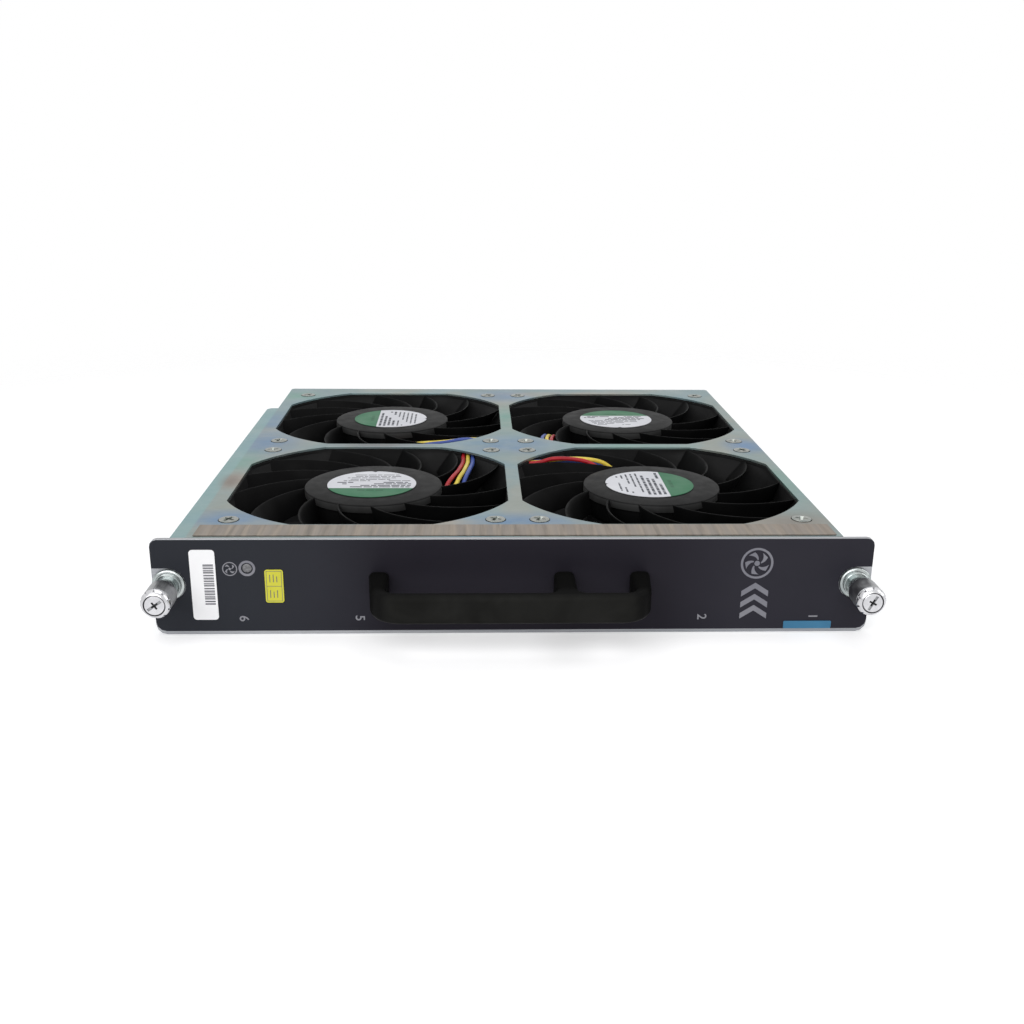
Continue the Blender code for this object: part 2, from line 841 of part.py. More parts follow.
def make_fan_frame(name, x, y, turn, look):
    """Square frame, flared duct, guide vanes and fixed hub, moulded as one. Z = 0 is its top face."""
    angles = ring_angles()
    waist = fan_half - seat_gap
    low_flange = fan_flange - fan_depth

    def ring(reach, z):
        return [(reach(a) * math.cos(a), reach(a) * math.sin(a), z) for a in angles]

    def mouth(a):
        return clipped_reach(a, opening_half, opening_radius)

    def flare(a):
        return clipped_reach(a, waist, opening_radius + mouth_wall)

    def body(a):
        return waist

    def duct(a):
        return duct_radius

    builder = bmesh.new()
    skin(builder, [
        ring(mouth, 0.0), ring(square_reach, 0.0), ring(square_reach, -fan_flange),
        ring(flare, -fan_flange), ring(body, -mouth_depth - mouth_wall), ring(body, low_flange),
        ring(square_reach, low_flange), ring(square_reach, -fan_depth), ring(duct, -fan_depth),
        ring(duct, -mouth_depth), ring(mouth, -mouth_lip),
    ], closed=True)
    frame = finish_object(name + "_frame", builder, look, (x, y, fan_top), (0, 0, math.radians(turn)))

    builder = bmesh.new()
    reach = fan_hole_reach
    hole = screw_shank_diameter / 2 + seat_gap
    for sx in (-1, 1):
        for sy in (-1, 1):
            add_prism(builder, circle(hole, 8, (sx * reach, sy * reach)),
                      -fan_flange - cutter_over, cutter_over)
    slot_half = lead_pitch + lead_diameter / 2 + seat_gap
    add_box(builder, (slot_middle - slot_half, duct_radius * 0.7, -slot_depth),
            (slot_middle + slot_half, fan_half + cutter_over, cutter_over))
    place = ((x, y, fan_top), (0, 0, math.radians(turn)))
    cut(frame, finish_object(name + "_frame_cuts", builder, None, *place))

    tube_inner = shaft_diameter / 2 + turn_gap
    tube_outer = tube_inner + bearing_tube_wall
    tube_end = rotor_inside() + bearing_floor_gap
    builder = bmesh.new()
    add_turned(builder, [
        (0, 0), (hub_radius - hub_edge, 0), (hub_radius, -hub_edge), (hub_radius, -hub_rim),
        (hub_radius - hub_step, -hub_rim), (hub_radius - hub_step, -hub_depth),
        (hub_radius - hub_step - hub_wall, -hub_depth), (hub_radius - hub_step - hub_wall, -hub_roof),
        (tube_outer, -hub_roof), (tube_outer, tube_end), (tube_inner, tube_end),
        (tube_inner, -hub_roof), (0, -hub_roof),
    ], 24)
    fuse(frame, finish_object(name + "_hub_guide", builder, None, *place))

    inner = hub_radius - hub_step - hub_wall / 2
    builder = bmesh.new()
    for i in range(vane_count):
        start = vane_phase + 360.0 * i / vane_count
        # A vane that reaches further out also turns further, so its end is found from both.
        wall = mouth(math.radians(start + vane_sweep))
        sweep = vane_sweep * (wall - inner) / (duct_radius - inner)
        wall = mouth(math.radians(start + sweep)) + mouth_wall / 2
        curved_sheet(builder, inner, (wall, duct_radius + mouth_wall), start, sweep, -vane_drop,
                     vane_height, vane_lean, vane_thickness, 3, 1)
    return fuse(frame, finish_object(name + "_vane_guide", builder, None, *place))


def rotor_bottom():
    return -fan_depth + rotor_floor_gap


def rotor_inside():
    return rotor_bottom() + rotor_wall


def make_label(name, x, y, look):
    builder = bmesh.new()
    low = fan_top + film_gap
    outline = circle(label_diameter / 2, 24, (x - label_offset, y))
    add_prism(builder, outline, low, low + label_thickness)
    return finish_object(name + "_label", builder, look)


def make_rotor(name, x, y, look):
    """Cup with its blades and shaft. Z = 0 is the frame's top face, on the shaft's axis."""
    shaft = shaft_diameter / 2
    shaft_top = -hub_roof - seat_gap
    bottom = rotor_bottom()
    builder = bmesh.new()
    add_turned(builder, [
        (0, bottom), (rotor_radius - rotor_chamfer, bottom), (rotor_radius, bottom + rotor_chamfer),
        (rotor_radius, -rotor_drop), (rotor_radius - rotor_wall, -rotor_drop),
        (rotor_radius - rotor_wall, rotor_inside()), (shaft, rotor_inside()), (shaft, shaft_top),
        (0, shaft_top),
    ], 24)
    rotor = finish_object(name + "_rotor", builder, look, (x, y, fan_top))
    builder = bmesh.new()
    top = -rotor_drop - blade_top_drop
    height = top - bottom - blade_foot_rise
    for i in range(blade_count):
        start = 360.0 * i / blade_count
        tip = duct_radius - blade_tip_gap
        curved_sheet(builder, rotor_radius - blade_root, (tip, tip), start, -blade_rake,
                     top, height, blade_chord, blade_thickness, 2, 3)
    return fuse(rotor, finish_object(name + "_blade_guide", builder, None, (x, y, fan_top)))


def make_motor(name, x, y, look):
    """Laminations and windings around the bearing tube, with four poles."""
    inner = shaft_diameter / 2 + turn_gap + bearing_tube_wall + seat_gap
    outer = coil_diameter / 2
    waist = outer * coil_waist
    low = fan_top + rotor_inside() + coil_floor_gap
    angles = []
    for pole in range(4):
        middle = 90 * pole
        between = middle + 45
        angles += [(middle - coil_pole_half, outer), (middle, outer), (middle + coil_pole_half, outer),
                   (between - coil_waist_half, waist), (between + coil_waist_half, waist)]
    outer_ring = [(x + r * math.cos(math.radians(a)), y + r * math.sin(math.radians(a))) for a, r in angles]
    inner_ring = [(x + inner * math.cos(math.radians(a)), y + inner * math.sin(math.radians(a)))
                  for a, r in angles]
    rings = []
    for ring, z in ((inner_ring, low), (outer_ring, low), (outer_ring, low + coil_height),
                    (inner_ring, low + coil_height)):
        rings.append([(px, py, z) for px, py in ring])
    builder = bmesh.new()
    skin(builder, rings, closed=True)
    return finish_object(name + "_motor_coils", builder, look)


def make_deck_screw(number, centre, look):
    """Countersunk screw through the deck into a fan's flange."""
    builder = bmesh.new()
    head = screw_head_diameter / 2
    shank = screw_shank_diameter / 2
    profile = [(0, 0), (head, 0), (shank, -screw_head_depth), (shank, -screw_length), (0, -screw_length)]
    add_turned(builder, profile, 8)
    name = "deck_screw_" + str(number).zfill(2)
    return finish_object(name, builder, look, (*centre, deck_top + screw_stand))


# Leads, cable and plug

# How far along each lead's first points are, across and away from the hub, and how far they
# still lie under its height at the rim
lead_shares = (
    ((0.20, 0.14, 0.0006), (0.44, 0.27, 0.0), (0.68, 0.41, 0.0), (0.97, 0.68, 0.0), (0.99, 0.81, 0.0)),
    ((0.39, 0.11, 0.0020), (0.62, 0.25, 0.0), (0.82, 0.44, 0.0), (0.98, 0.68, 0.0), (0.99, 0.80, 0.0)),
    ((0.53, 0.11, 0.0032), (0.71, 0.26, 0.0), (0.87, 0.47, 0.0), (0.98, 0.66, 0.0), (0.99, 0.78, 0.0)),
)

# How high each of a fan's leads arches between hub and rim, and the share of it at each point
lead_arches = {"fan_2": (0.0031, 0.0026, 0.0020), "fan_3": (-0.0006, 0.0, 0.0004)}
arch_shares = (0.35, 0.75, 1.0, 0.85, 0.2)


def lead_start(order, across, arch):
    """A lead's first points, from the fixed hub up between two vanes, from the fan's middle."""
    reach = hub_radius + seat_gap + lead_diameter / 2
    first = Vector((reach, lead_side, -hub_rim - lead_step * order))
    rim = fan_pitch / 2 - lead_bend
    points = [first]
    for (over, away, under), share in zip(lead_shares[order], arch_shares):
        points.append(Vector((
            first.x + (across - first.x) * over,
            first.y + (rim - first.y) * away,
            arch * share - lead_drop - under,
        )))
    return points


def lead_route(name, x, y, turn, order, level):
    """One lead from its hub, over the frame's rim, down between the fans and back to the plug."""
    across = slot_middle + (order - 1) * lead_pitch
    middle = fan_pitch / 2
    arch = lead_arches[name][order] if name in lead_arches else 0.0
    local = lead_start(order, across, arch)
    local += [
        (across, middle - lead_bend, -lead_drop),
        (across, middle - lead_bend * bend_share, -lead_drop - lead_bend * bend_share),
        (across, middle, -lead_drop - lead_bend),
        (across, middle, level + lead_bend - fan_top),
    ]
    spin = Matrix.Rotation(math.radians(turn), 3, "Z")
    run = [spin @ Vector(point) + Vector((x, y, fan_top)) for point in local]
    drop = run[-1]
    if abs(drop.x - lane_x) > lead_bend:
        toward = math.copysign(lead_bend, lane_x - drop.x)
        run += [
            (drop.x + toward * bend_share, lane_y, level + lead_bend * bend_share),
            (drop.x + toward, lane_y, level),
            (lane_x - toward, lane_y, level),
            (lane_x - toward * bend_share, lane_y + lead_bend * bend_share, level),
            (lane_x, lane_y + lead_bend, level),
        ]
    else:
        run += [
            (lane_x, drop.y + lead_bend * bend_share, level + lead_bend * bend_share),
            (lane_x, drop.y + lead_bend, level),
        ]
    run.append((lane_x, crimp_front() + crimp_length / 2, level))
    return run


def crimp_front():
    return deck_back - plug_inside - seat_gap - crimp_length


def make_leads(name, x, y, turn, place_in_plug, look):
    """Three leads of one fan, crimped into a shared end that seats on the plug.

    Every lead has its own level between the fans. The one that comes down first along its run
    lies lowest, so that none crosses another."""
    levels = []
    builder = bmesh.new()
    for order in range(3):
        rank = 2 - order if turn == -90 else order
        level = level_first + level_step * (3 * place_in_plug + rank)
        levels.append(level)
        add_tube(builder, lead_route(name, x, y, turn, order, level), lead_diameter / 2, 6)
    leads = finish_object(name + "_leads", builder, look)
    builder = bmesh.new()
    half = crimp_width / 2
    spare = (level_step - seat_gap) / 2
    add_box(builder, (lane_x - half, crimp_front(), min(levels) - spare),
            (lane_x + half, crimp_front() + crimp_length, max(levels) + spare))
    return fuse(leads, finish_object(name + "_crimp_guide", builder, None))


def make_cable(look):
    """Cable from the status board, round the front fans and back to the plug."""
    y = board_back() + header_size[1] / 2
    start = header_low() + header_size[2] / 2
    points = [
        (board_right() + seat_gap, y, start),
        (board_right() + cable_bend, y, start),
        (board_right() + cable_fall, y, cable_level),
        (lane_x - cable_bend, y, cable_level),
        (lane_x - cable_bend * bend_share, y + cable_bend * bend_share, cable_level),
        (lane_x, y + cable_bend, cable_level),
        (lane_x, deck_back - plug_inside - seat_gap, cable_level),
    ]
    builder = bmesh.new()
    add_tube(builder, points, cable_diameter / 2, 6)
    return finish_object("status_cable", builder, look)


def make_plug(look):
    """Rear plug: ears behind the pan's wall, catches outside it, and a tongue with raised contacts."""
    half = plug_width / 2
    ear = half + plug_ear
    tongue = tongue_width / 2
    inside = deck_back - plug_inside
    ear_back = deck_back - sheet - seat_gap
    ear_front = ear_back - plug_ear_thickness
    catch = deck_back + seat_gap
    body_end = catch + plug_catch_length
    right_side = [
        (half, inside), (half, ear_front), (ear, ear_front), (ear, ear_back), (half, ear_back),
        (half, catch), (half + plug_catch, catch), (half, body_end), (tongue, body_end),
        (tongue, deck_back + tongue_reach),
    ]
    left_side = [(-u, v) for u, v in reversed(right_side)]
    builder = bmesh.new()
    outline = [(lane_x + u, v) for u, v in right_side + left_side]
    add_prism(builder, outline, plug_bottom, plug_bottom + plug_height)
    plug = finish_object("rear_plug", builder, look)
    pitch = plug_height / contact_count
    start = body_end + contact_setback
    reach = tongue + contact_thickness
    builder = bmesh.new()
    for i in range(contact_count):
        z = plug_bottom + pitch * (i + 0.5)
        add_box(builder, (lane_x - reach, start, z - contact_height / 2),
                (lane_x + reach, start + contact_length, z + contact_height / 2))
    return fuse(plug, finish_object("plug_contact_guide", builder, None))


# Status board

def board_front():
    return wall_front + sheet + seat_gap + standoff_length


def board_back():
    return board_front() + board_thickness


def board_left():
    return deck_left + sheet + board_inset


def board_right():
    return board_left() + board_width


def header_low():
    return board_bottom + header_lift


def make_board(look):
    """Circuit board on four standoffs, with its chips and the cable's header on the back."""
    builder = bmesh.new()
    add_box(builder, (board_left(), board_front(), board_bottom),
            (board_right(), board_back(), board_bottom + board_height))
    board = finish_object("status_board", builder, look)

    builder = bmesh.new()
    edge = standoff_diameter / 2 + standoff_inset
    for x in (board_left() + edge, board_right() - edge):
        for z in (board_bottom + edge, board_bottom + board_height - edge):
            ring = circle(standoff_diameter / 2, 6, (x, z))
            add_prism(builder, ring, board_front() - standoff_length, board_front() + fuse_depth, "Y")
    fuse(board, finish_object("standoff_guide", builder, None))

    builder = bmesh.new()
    base = board_back() - fuse_depth
    middle = board_bottom + board_height / 2
    for from_left, up, width, height, rise in board_chips:
        x = board_left() + from_left
        z = middle + up
        add_box(builder, (x - width / 2, base, z - height / 2),
                (x + width / 2, board_back() + rise, z + height / 2))
    header_left = board_right() - header_size[0]
    add_box(builder, (header_left, base, header_low()),
            (board_right(), board_back() + header_size[1], header_low() + header_size[2]))
    return fuse(board, finish_object("chip_guide", builder, None))


def make_led(look):
    """Lamp on the board, with its light guide through the wall, the plate and the overlay."""
    builder = bmesh.new()
    radius = led_diameter / 2
    face = overlay_front()
    length = board_front() - film_gap - face
    stop = length - led_flange_length
    profile = [(0, 0), (radius - led_edge, 0), (radius, led_edge), (radius, stop),
               (radius + led_flange, stop), (radius + led_flange, length), (0, length)]
    led_x, led_z = led_place
    add_turned(builder, profile, 12)
    return finish_object("status_led", builder, look, (led_x, face, led_z), (math.radians(-90), 0, 0))


def build():
    remove_old_objects()
    plated = material("plated_steel", (0.38, 0.40, 0.38), 0.38, 0.85)
    bare = material("bare_steel", (0.62, 0.63, 0.66), 0.30, 0.90)
    film = material("overlay_film", (0.027, 0.026, 0.036), 0.42)
    moulded = material("handle_plastic", (0.020, 0.020, 0.016), 0.45)
    fan_black = material("fan_plastic", (0.012, 0.012, 0.013), 0.50)
    rotor_black = material("rotor_plastic", (0.010, 0.010, 0.011), 0.45)
    bright = material("zinc_screws", (0.68, 0.69, 0.72), 0.22, 1.0)
    knurled = material("knob_steel", (0.30, 0.29, 0.29), 0.38, 0.9)
    spring = material("spring_steel", (0.55, 0.55, 0.56), 0.30, 1.0)
    gasket = material("gasket_cloth", (0.30, 0.24, 0.20), 0.60, 0.3)
    paper = material("label_paper", (0.75, 0.75, 0.80), 0.55)
    copper = material("coil_copper", (0.45, 0.20, 0.09), 0.35, 0.9)
    yellow_film = material("yellow_film", (0.75, 0.68, 0.05), 0.50)
    blue_film = material("blue_film", (0.03, 0.25, 0.55), 0.50)
    plug_plastic = material("plug_plastic", (0.03, 0.03, 0.035), 0.50)
    board_green = material("board_green", (0.02, 0.14, 0.06), 0.45)
    lens = material("led_lens", (0.35, 0.36, 0.36), 0.25)
    cable_grey = material("cable_jacket", (0.06, 0.06, 0.065), 0.50)
    lead_red = material("lead_red", (0.50, 0.03, 0.04), 0.45)

    make_deck(plated)
    make_pan(plated)
    make_gasket(gasket)

    make_faceplate(bare)
    make_overlay(film)
    make_sticker("white_sticker", white_sticker_size, white_sticker_place, paper)
    make_sticker("yellow_sticker", yellow_sticker_size, yellow_sticker_place, yellow_film)
    make_sticker("blue_sticker", blue_sticker_size, blue_sticker_place, blue_film)
    make_handle(moulded)
    for number, x in enumerate(handle_leg_places(), 1):
        make_handle_screw(number, x, bright)

    for side, x in captive_places():
        make_ferrule(side, x, bright)
        make_collar(side, x, bright)
        make_captive_screw(side, x, knurled)
        make_spring(side, x, spring)

    for name, x, y, turn in fans:
        make_fan_frame(name, x, y, turn, fan_black)
        make_label(name, x, y, paper)
        make_rotor(name, x, y, rotor_black)
        make_motor(name, x, y, copper)
        make_leads(name, x, y, turn, plug_order.index(name), lead_red)
    for number, centre in enumerate(hole_places(), 1):
        make_deck_screw(number, centre, bright)

    make_cable(cable_grey)
    make_plug(plug_plastic)
    make_board(board_green)
    make_led(lens)


build()
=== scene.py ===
import json
from math import acos, atan, atan2, copysign, cos, degrees, pi, radians, sin, sqrt, tan

import bmesh
import bpy
from mathutils import Matrix, Vector

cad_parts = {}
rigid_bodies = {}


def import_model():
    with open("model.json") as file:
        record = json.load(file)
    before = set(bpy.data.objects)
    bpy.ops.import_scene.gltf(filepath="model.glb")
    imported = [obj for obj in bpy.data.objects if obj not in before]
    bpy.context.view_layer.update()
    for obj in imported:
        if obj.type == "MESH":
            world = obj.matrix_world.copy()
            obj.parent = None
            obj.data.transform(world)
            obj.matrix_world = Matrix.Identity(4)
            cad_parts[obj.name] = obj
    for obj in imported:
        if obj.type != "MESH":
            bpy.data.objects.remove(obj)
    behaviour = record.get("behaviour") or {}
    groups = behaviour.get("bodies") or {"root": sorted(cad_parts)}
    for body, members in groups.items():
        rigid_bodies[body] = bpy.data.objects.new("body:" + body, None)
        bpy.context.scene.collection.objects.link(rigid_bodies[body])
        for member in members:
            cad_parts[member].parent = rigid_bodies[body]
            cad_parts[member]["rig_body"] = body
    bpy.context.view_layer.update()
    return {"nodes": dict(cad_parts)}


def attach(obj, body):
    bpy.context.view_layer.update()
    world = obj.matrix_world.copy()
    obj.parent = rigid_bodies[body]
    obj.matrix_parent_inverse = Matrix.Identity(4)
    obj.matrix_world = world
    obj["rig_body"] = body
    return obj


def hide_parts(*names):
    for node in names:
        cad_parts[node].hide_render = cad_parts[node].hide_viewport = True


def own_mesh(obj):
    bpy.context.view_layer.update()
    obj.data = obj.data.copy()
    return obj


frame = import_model()

# Sizes in metres, as the CAD has them
overlay_face = -0.12645
panel_face = -0.126
sticker_back = -0.1266
sticker_thickness = 0.0002
fix_z = 0.0206
captive_x = 0.1303
deck_top = 0.0375
sheet = 0.0012
fan_top = 0.036
fan_half = 0.0595
fan_corner = 0.006
fan_pitch = 0.1225
hole_reach = 0.0525
duct = 0.0577
open_half = 0.0583
open_radius = 0.0646
hub = 0.03
slot_x = 0.0413
label_radius = 0.0194
label_shift = -0.0008
lane = (0.0016, 0.01335)

# Name, place and turn of each fan, and the turn of its label
fans = (
    ("fan_1", -0.05965, -0.0479, 0, -90),
    ("fan_2", 0.06285, -0.0479, 90, 0),
    ("fan_3", -0.05965, 0.0746, -90, 180),
    ("fan_4", 0.06285, 0.0746, 180, 90),
)
hole_places = [(x + sx * hole_reach, y + sy * hole_reach)
               for name, x, y, turn, label_turn in fans for sx in (-1, 1) for sy in (-1, 1)]

# Levels between which a noise pattern mostly lies
noise_low, noise_high = 0.3, 0.7


# Node materials

class Nodes:
    """Shader nodes of one material or world. An input is a plain value or another node's output."""

    def __init__(self, tree):
        self.tree = tree

    def feed(self, socket, value):
        if isinstance(value, bpy.types.NodeSocket):
            self.tree.links.new(value, socket)
        elif socket.type == "RGBA":
            socket.default_value = (*value, 1)
        else:
            socket.default_value = value

    def add(self, kind, inputs, out=0, **settings):
        node = self.tree.nodes.new("ShaderNode" + kind)
        for setting, value in settings.items():
            setattr(node, setting, value)
        for socket, value in inputs.items():
            self.feed(node.inputs[socket], value)
        return node.outputs[out]

    def math(self, kind, a, b=0.0):
        return self.add("Math", {0: a, 1: b}, operation=kind)

    def times(self, a, b):
        return self.math("MULTIPLY", a, b)

    def spread(self, value, low, high, out_low=0.0, out_high=1.0, blend="LINEAR"):
        return self.add("MapRange", {"Value": value, "From Min": low, "From Max": high, "To Min": out_low,
                                     "To Max": out_high}, "Result", interpolation_type=blend)

    def seen(self, *rays):
        """1 for any of these kinds of ray, and 0 for the others."""
        total = 0.0
        for ray in rays:
            total = self.math("MAXIMUM", total, self.add("LightPath", {}, ray))
        return total


class Look(Nodes):
    """A node material, put together from a few kinds of pattern in object space."""

    def __init__(self, name, colour, rough, metal=0.0, level=0.5):
        self.made = bpy.data.materials.new(name)
        self.made.use_nodes = True
        super().__init__(self.made.node_tree)
        self.sockets = self.tree.nodes["Principled BSDF"].inputs
        self.place = self.add("TexCoord", {}, "Object")
        self.height = None
        self.set("Base Color", colour)
        self.set("Roughness", rough)
        self.set("Metallic", metal)
        self.set("Specular IOR Level", level)

    def set(self, socket, value):
        self.feed(self.sockets[socket], value)

    def stretched(self, stretch):
        return self.add("Mapping", {"Vector": self.place, "Scale": stretch})

    def noise(self, scale, detail, stretch=(1, 1, 1), warp=0.0):
        return self.add("TexNoise", {"Vector": self.stretched(stretch), "Scale": scale, "Detail": detail,
                                     "Roughness": 0.55, "Distortion": warp}, "Fac")

    def axis(self, which):
        return self.add("SeparateXYZ", {0: self.place}, which)

    def ramp(self, value, *stops):
        """A colour for each level of a pattern. A stop is a level and its colour."""
        colours = self.add("ValToRGB", {0: value}, "Color")
        points = colours.node.color_ramp.elements
        points.remove(points[-1])
        points[0].position = stops[0][0]
        points[0].color = (*stops[0][1], 1)
        for place, colour in stops[1:]:
            points.new(place).color = (*colour, 1)
        return colours

    def mix(self, share, a, b):
        return self.add("Mix", {0: share, 6: a, 7: b}, 2, data_type="RGBA")

    def rough(self, value, low, high):
        self.set("Roughness", self.spread(value, noise_low, noise_high, low, high))

    def bump(self, value, depth, strength):
        inputs = {"Height": value, "Distance": depth, "Strength": strength}
        if self.height is not None:
            inputs["Normal"] = self.height
        self.height = self.add("Bump", inputs, "Normal")
        self.set("Normal", self.height)

    def finish(self, base, wear, low, high, grain, depth, strength):
        """The colour, a roughness by one pattern and fine bumps by another."""
        self.set("Base Color", base)
        self.rough(wear, low, high)
        self.bump(grain, depth, strength)
        return self.made

    def blob(self, centre, size):
        """A soft patch around a place in X and Y, 1 in its middle and 0 outside."""
        x, y = (self.math("DIVIDE", self.math("SUBTRACT", self.axis(k), centre[k]), size[k]) for k in (0, 1))
        away = self.math("SQRT", self.math("ADD", self.times(x, x), self.times(y, y)))
        return self.spread(away, 1.0, 0.0, blend="SMOOTHSTEP")


# The plating's tones, each with its patches' middles and sizes in X and Y
plating_patches = (
    ((0.09, 0.19, 0.345), (
        ((0.0016, 0.0134), (0.036, 0.024)), ((-0.116, 0.02), (0.026, 0.04)),
        ((-0.109, -0.099), (0.03, 0.016)), ((0.0016, -0.103), (0.04, 0.016)),
        ((0.0016, 0.128), (0.026, 0.024)), ((0.119, 0.013), (0.016, 0.02)),
        ((-0.121, 0.062), (0.01, 0.03)))),
    ((0.15, 0.29, 0.25), (
        ((-0.121, -0.018), (0.012, 0.03)), ((0.0016, 0.07), (0.012, 0.04)),
        ((0.121, -0.05), (0.012, 0.04)), ((-0.118, 0.125), (0.02, 0.02)),
        ((0.06, 0.013), (0.05, 0.006)))),
    ((0.33, 0.285, 0.235), (
        ((-0.12, -0.046), (0.01, 0.026)), ((0.104, -0.104), (0.03, 0.01)),
        ((-0.03, -0.104), (0.03, 0.008)), ((0.04, 0.131), (0.06, 0.01)))),
)

# Smudges on the deck: middle, size, strength and tone
deck_smudges = (
    ((-0.1215, -0.047), (0.007, 0.018), 0.9, (0.17, 0.14, 0.12)),
    ((-0.062, 0.0134), (0.036, 0.008), 0.8, (0.15, 0.142, 0.138)),
    ((0.11, -0.104), (0.028, 0.02), 0.9, (0.195, 0.184, 0.164)),
)


def plated_look():
    """Zinc plate with the thin rainbow of its passivation: blue, teal and straw clouds."""
    look = Look("plated_steel", (0.24, 0.29, 0.29), 0.4, 0.85)
    base = look.ramp(look.noise(16, 3, warp=0.9), (0.34, (0.185, 0.272, 0.3)),
                     (0.48, (0.205, 0.272, 0.272)), (0.62, (0.25, 0.275, 0.25)))
    on_top = look.spread(look.axis(2), fan_top - 0.001, fan_top + 0.0002)
    fine = look.spread(look.noise(38, 3, warp=0.4), noise_low, 0.62, 0.35, 1.0)
    fine = look.times(fine, look.spread(on_top, 0.0, 1.0, 0.45, 1.0))
    for tone, places in plating_patches:
        total = 0.0
        for centre, size in places:
            total = look.math("MAXIMUM", total, look.blob(centre, size))
        base = look.mix(look.times(total, fine), base, tone)
    flange = look.times(look.spread(look.axis(0), -0.1236, -0.1246, 0.0, 0.7), on_top)
    base = look.mix(flange, base, (0.195, 0.335, 0.345))
    grain = look.noise(900, 2, stretch=(0.22, 1, 1))
    base = look.mix(look.spread(grain, noise_low, noise_high, 0.0, 0.1), base, (0.42, 0.47, 0.47))
    for centre, size, strength, tone in deck_smudges:
        smudge = look.times(look.times(look.blob(centre, size), strength), on_top)
        base = look.mix(smudge, base, tone)
    look.bump(grain, 0.00002, 0.35)
    return look.finish(base, look.noise(60, 4), 0.36, 0.52, look.noise(9, 2), 0.0006, 0.15)


def bare_look():
    look = Look("bare_steel", (0.35, 0.36, 0.38), 0.36, 0.9)
    grain = look.noise(700, 3, stretch=(0.03, 1, 1))
    base = look.ramp(grain, (0.3, (0.28, 0.29, 0.31)), (0.7, (0.42, 0.43, 0.45)))
    return look.finish(base, grain, 0.32, 0.46, grain, 0.00002, 0.4)


def film_look():
    """Dark printed film, darkest around the handle and bluer at its left end."""
    look = Look("overlay_film", (0.027, 0.026, 0.036), 0.42, level=0.08)
    base = look.ramp(look.noise(14, 3), (0.35, (0.0225, 0.022, 0.0295)), (0.65, (0.0275, 0.0262, 0.0345)))
    away = look.math("ABSOLUTE", look.math("SUBTRACT", look.axis(0), 0.005))
    base = look.mix(look.spread(away, 0.08, 0.052, 0.0, 0.85), base, (0.0145, 0.0128, 0.0185))
    base = look.mix(look.spread(look.axis(0), -0.05, -0.1, 0.0, 0.6), base, (0.0235, 0.0275, 0.033))
    return look.finish(base, look.noise(90, 3), 0.38, 0.5, look.noise(2600, 2), 0.00001, 0.5)


def moulded_look(name, low, high, rough, level, grain=1500, bands=()):
    """Moulded plastic: a fine spark grain and rubbed spots, and bands of painted shade that fade to a darker
    tone along Y.
    """
    look = Look(name, low, rough, level=level)
    base = look.ramp(look.noise(60, 3, warp=0.5), (0.35, low), (0.68, high))
    # Painted shade: each band darkens the plastic along Y
    for start, end, share, tone in bands:
        base = look.mix(look.spread(look.axis(1), start, end, 0.0, share), base, tone)
    spark = look.noise(grain, 2)
    return look.finish(base, look.noise(140, 3), rough - 0.06, rough + 0.08, spark, 0.00002, 0.6)


def bright_look(name, low, high, rough, stretch=(1, 1, 1)):
    look = Look(name, low, rough, 1.0)
    tone = look.noise(260, 4, stretch=stretch)
    base = look.ramp(tone, (0.3, low), (0.7, high))
    fine = look.noise(1800, 2, stretch=stretch)
    return look.finish(base, tone, rough - 0.06, rough + 0.1, fine, 0.00001, 0.4)


def gasket_look():
    """Conductive cloth: ribs across the strip, a fine weave, and darker pressed bands."""
    look = Look("gasket_cloth", (0.3, 0.24, 0.2), 0.6, 0.35)
    ribs = look.add("TexWave", {"Vector": look.stretched((1, 0.12, 1)), "Scale": 52, "Distortion": 2.2,
                                "Detail": 3}, "Fac", bands_direction="X")
    streak = look.noise(620, 3, stretch=(1, 0.06, 0.06))
    base = look.ramp(streak, (0.32, (0.132, 0.113, 0.094)), (0.68, (0.312, 0.272, 0.226)))
    base = look.mix(look.spread(ribs, 0.1, 0.9, 0.0, 0.45), base, (0.245, 0.225, 0.205))
    band = look.spread(look.noise(20, 2), noise_low, noise_high, 0.0, 0.35)
    base = look.mix(band, base, (0.25, 0.2, 0.165))
    look.bump(streak, 0.00008, 0.6)
    return look.finish(base, streak, 0.5, 0.7, ribs, 0.00005, 0.4)


def paper_look(name, low, high, rough=0.5, level=0.35):
    look = Look(name, low, rough, level=level)
    base = look.ramp(look.noise(45, 3), (0.35, low), (0.65, high))
    fibre = look.noise(1400, 3)
    return look.finish(base, look.noise(120, 2), rough - 0.08, rough + 0.06, fibre, 0.000012, 0.5)


def jacket_look(name, low, high):
    look = Look(name, low, 0.36, level=0.22)
    base = look.ramp(look.noise(150, 3, warp=0.3), (0.35, low), (0.68, high))
    return look.finish(base, look.noise(300, 3), 0.3, 0.46, look.noise(900, 2), 0.00002, 0.5)


def coil_look():
    look = Look("coil_copper", (0.45, 0.2, 0.09), 0.35, 0.9)
    wind = look.noise(1500, 2, stretch=(0.1, 0.1, 1))
    look.set("Base Color", look.ramp(wind, (0.35, (0.22, 0.085, 0.035)), (0.65, (0.52, 0.25, 0.11))))
    look.bump(wind, 0.00015, 0.7)
    return look.made


def board_look():
    look = Look("board_green", (0.02, 0.14, 0.06), 0.42)
    lines = look.noise(420, 1, stretch=(1, 1, 0.1))
    base = look.ramp(lines, (0.48, (0.012, 0.1, 0.042)), (0.54, (0.03, 0.19, 0.08)))
    return look.finish(base, look.noise(200, 2), 0.36, 0.5, lines, 0.00003, 0.4)


def lens_look():
    look = Look("led_lens", (0.34, 0.35, 0.35), 0.22)
    look.set("Subsurface Weight", 0.2)
    look.set("Subsurface Radius", (0.001, 0.001, 0.001))
    base = look.ramp(look.noise(900, 2), (0.3, (0.1, 0.1, 0.105)), (0.7, (0.2, 0.2, 0.21)))
    look.set("Base Color", base)
    look.rough(look.noise(400, 2), 0.2, 0.35)
    return look.made


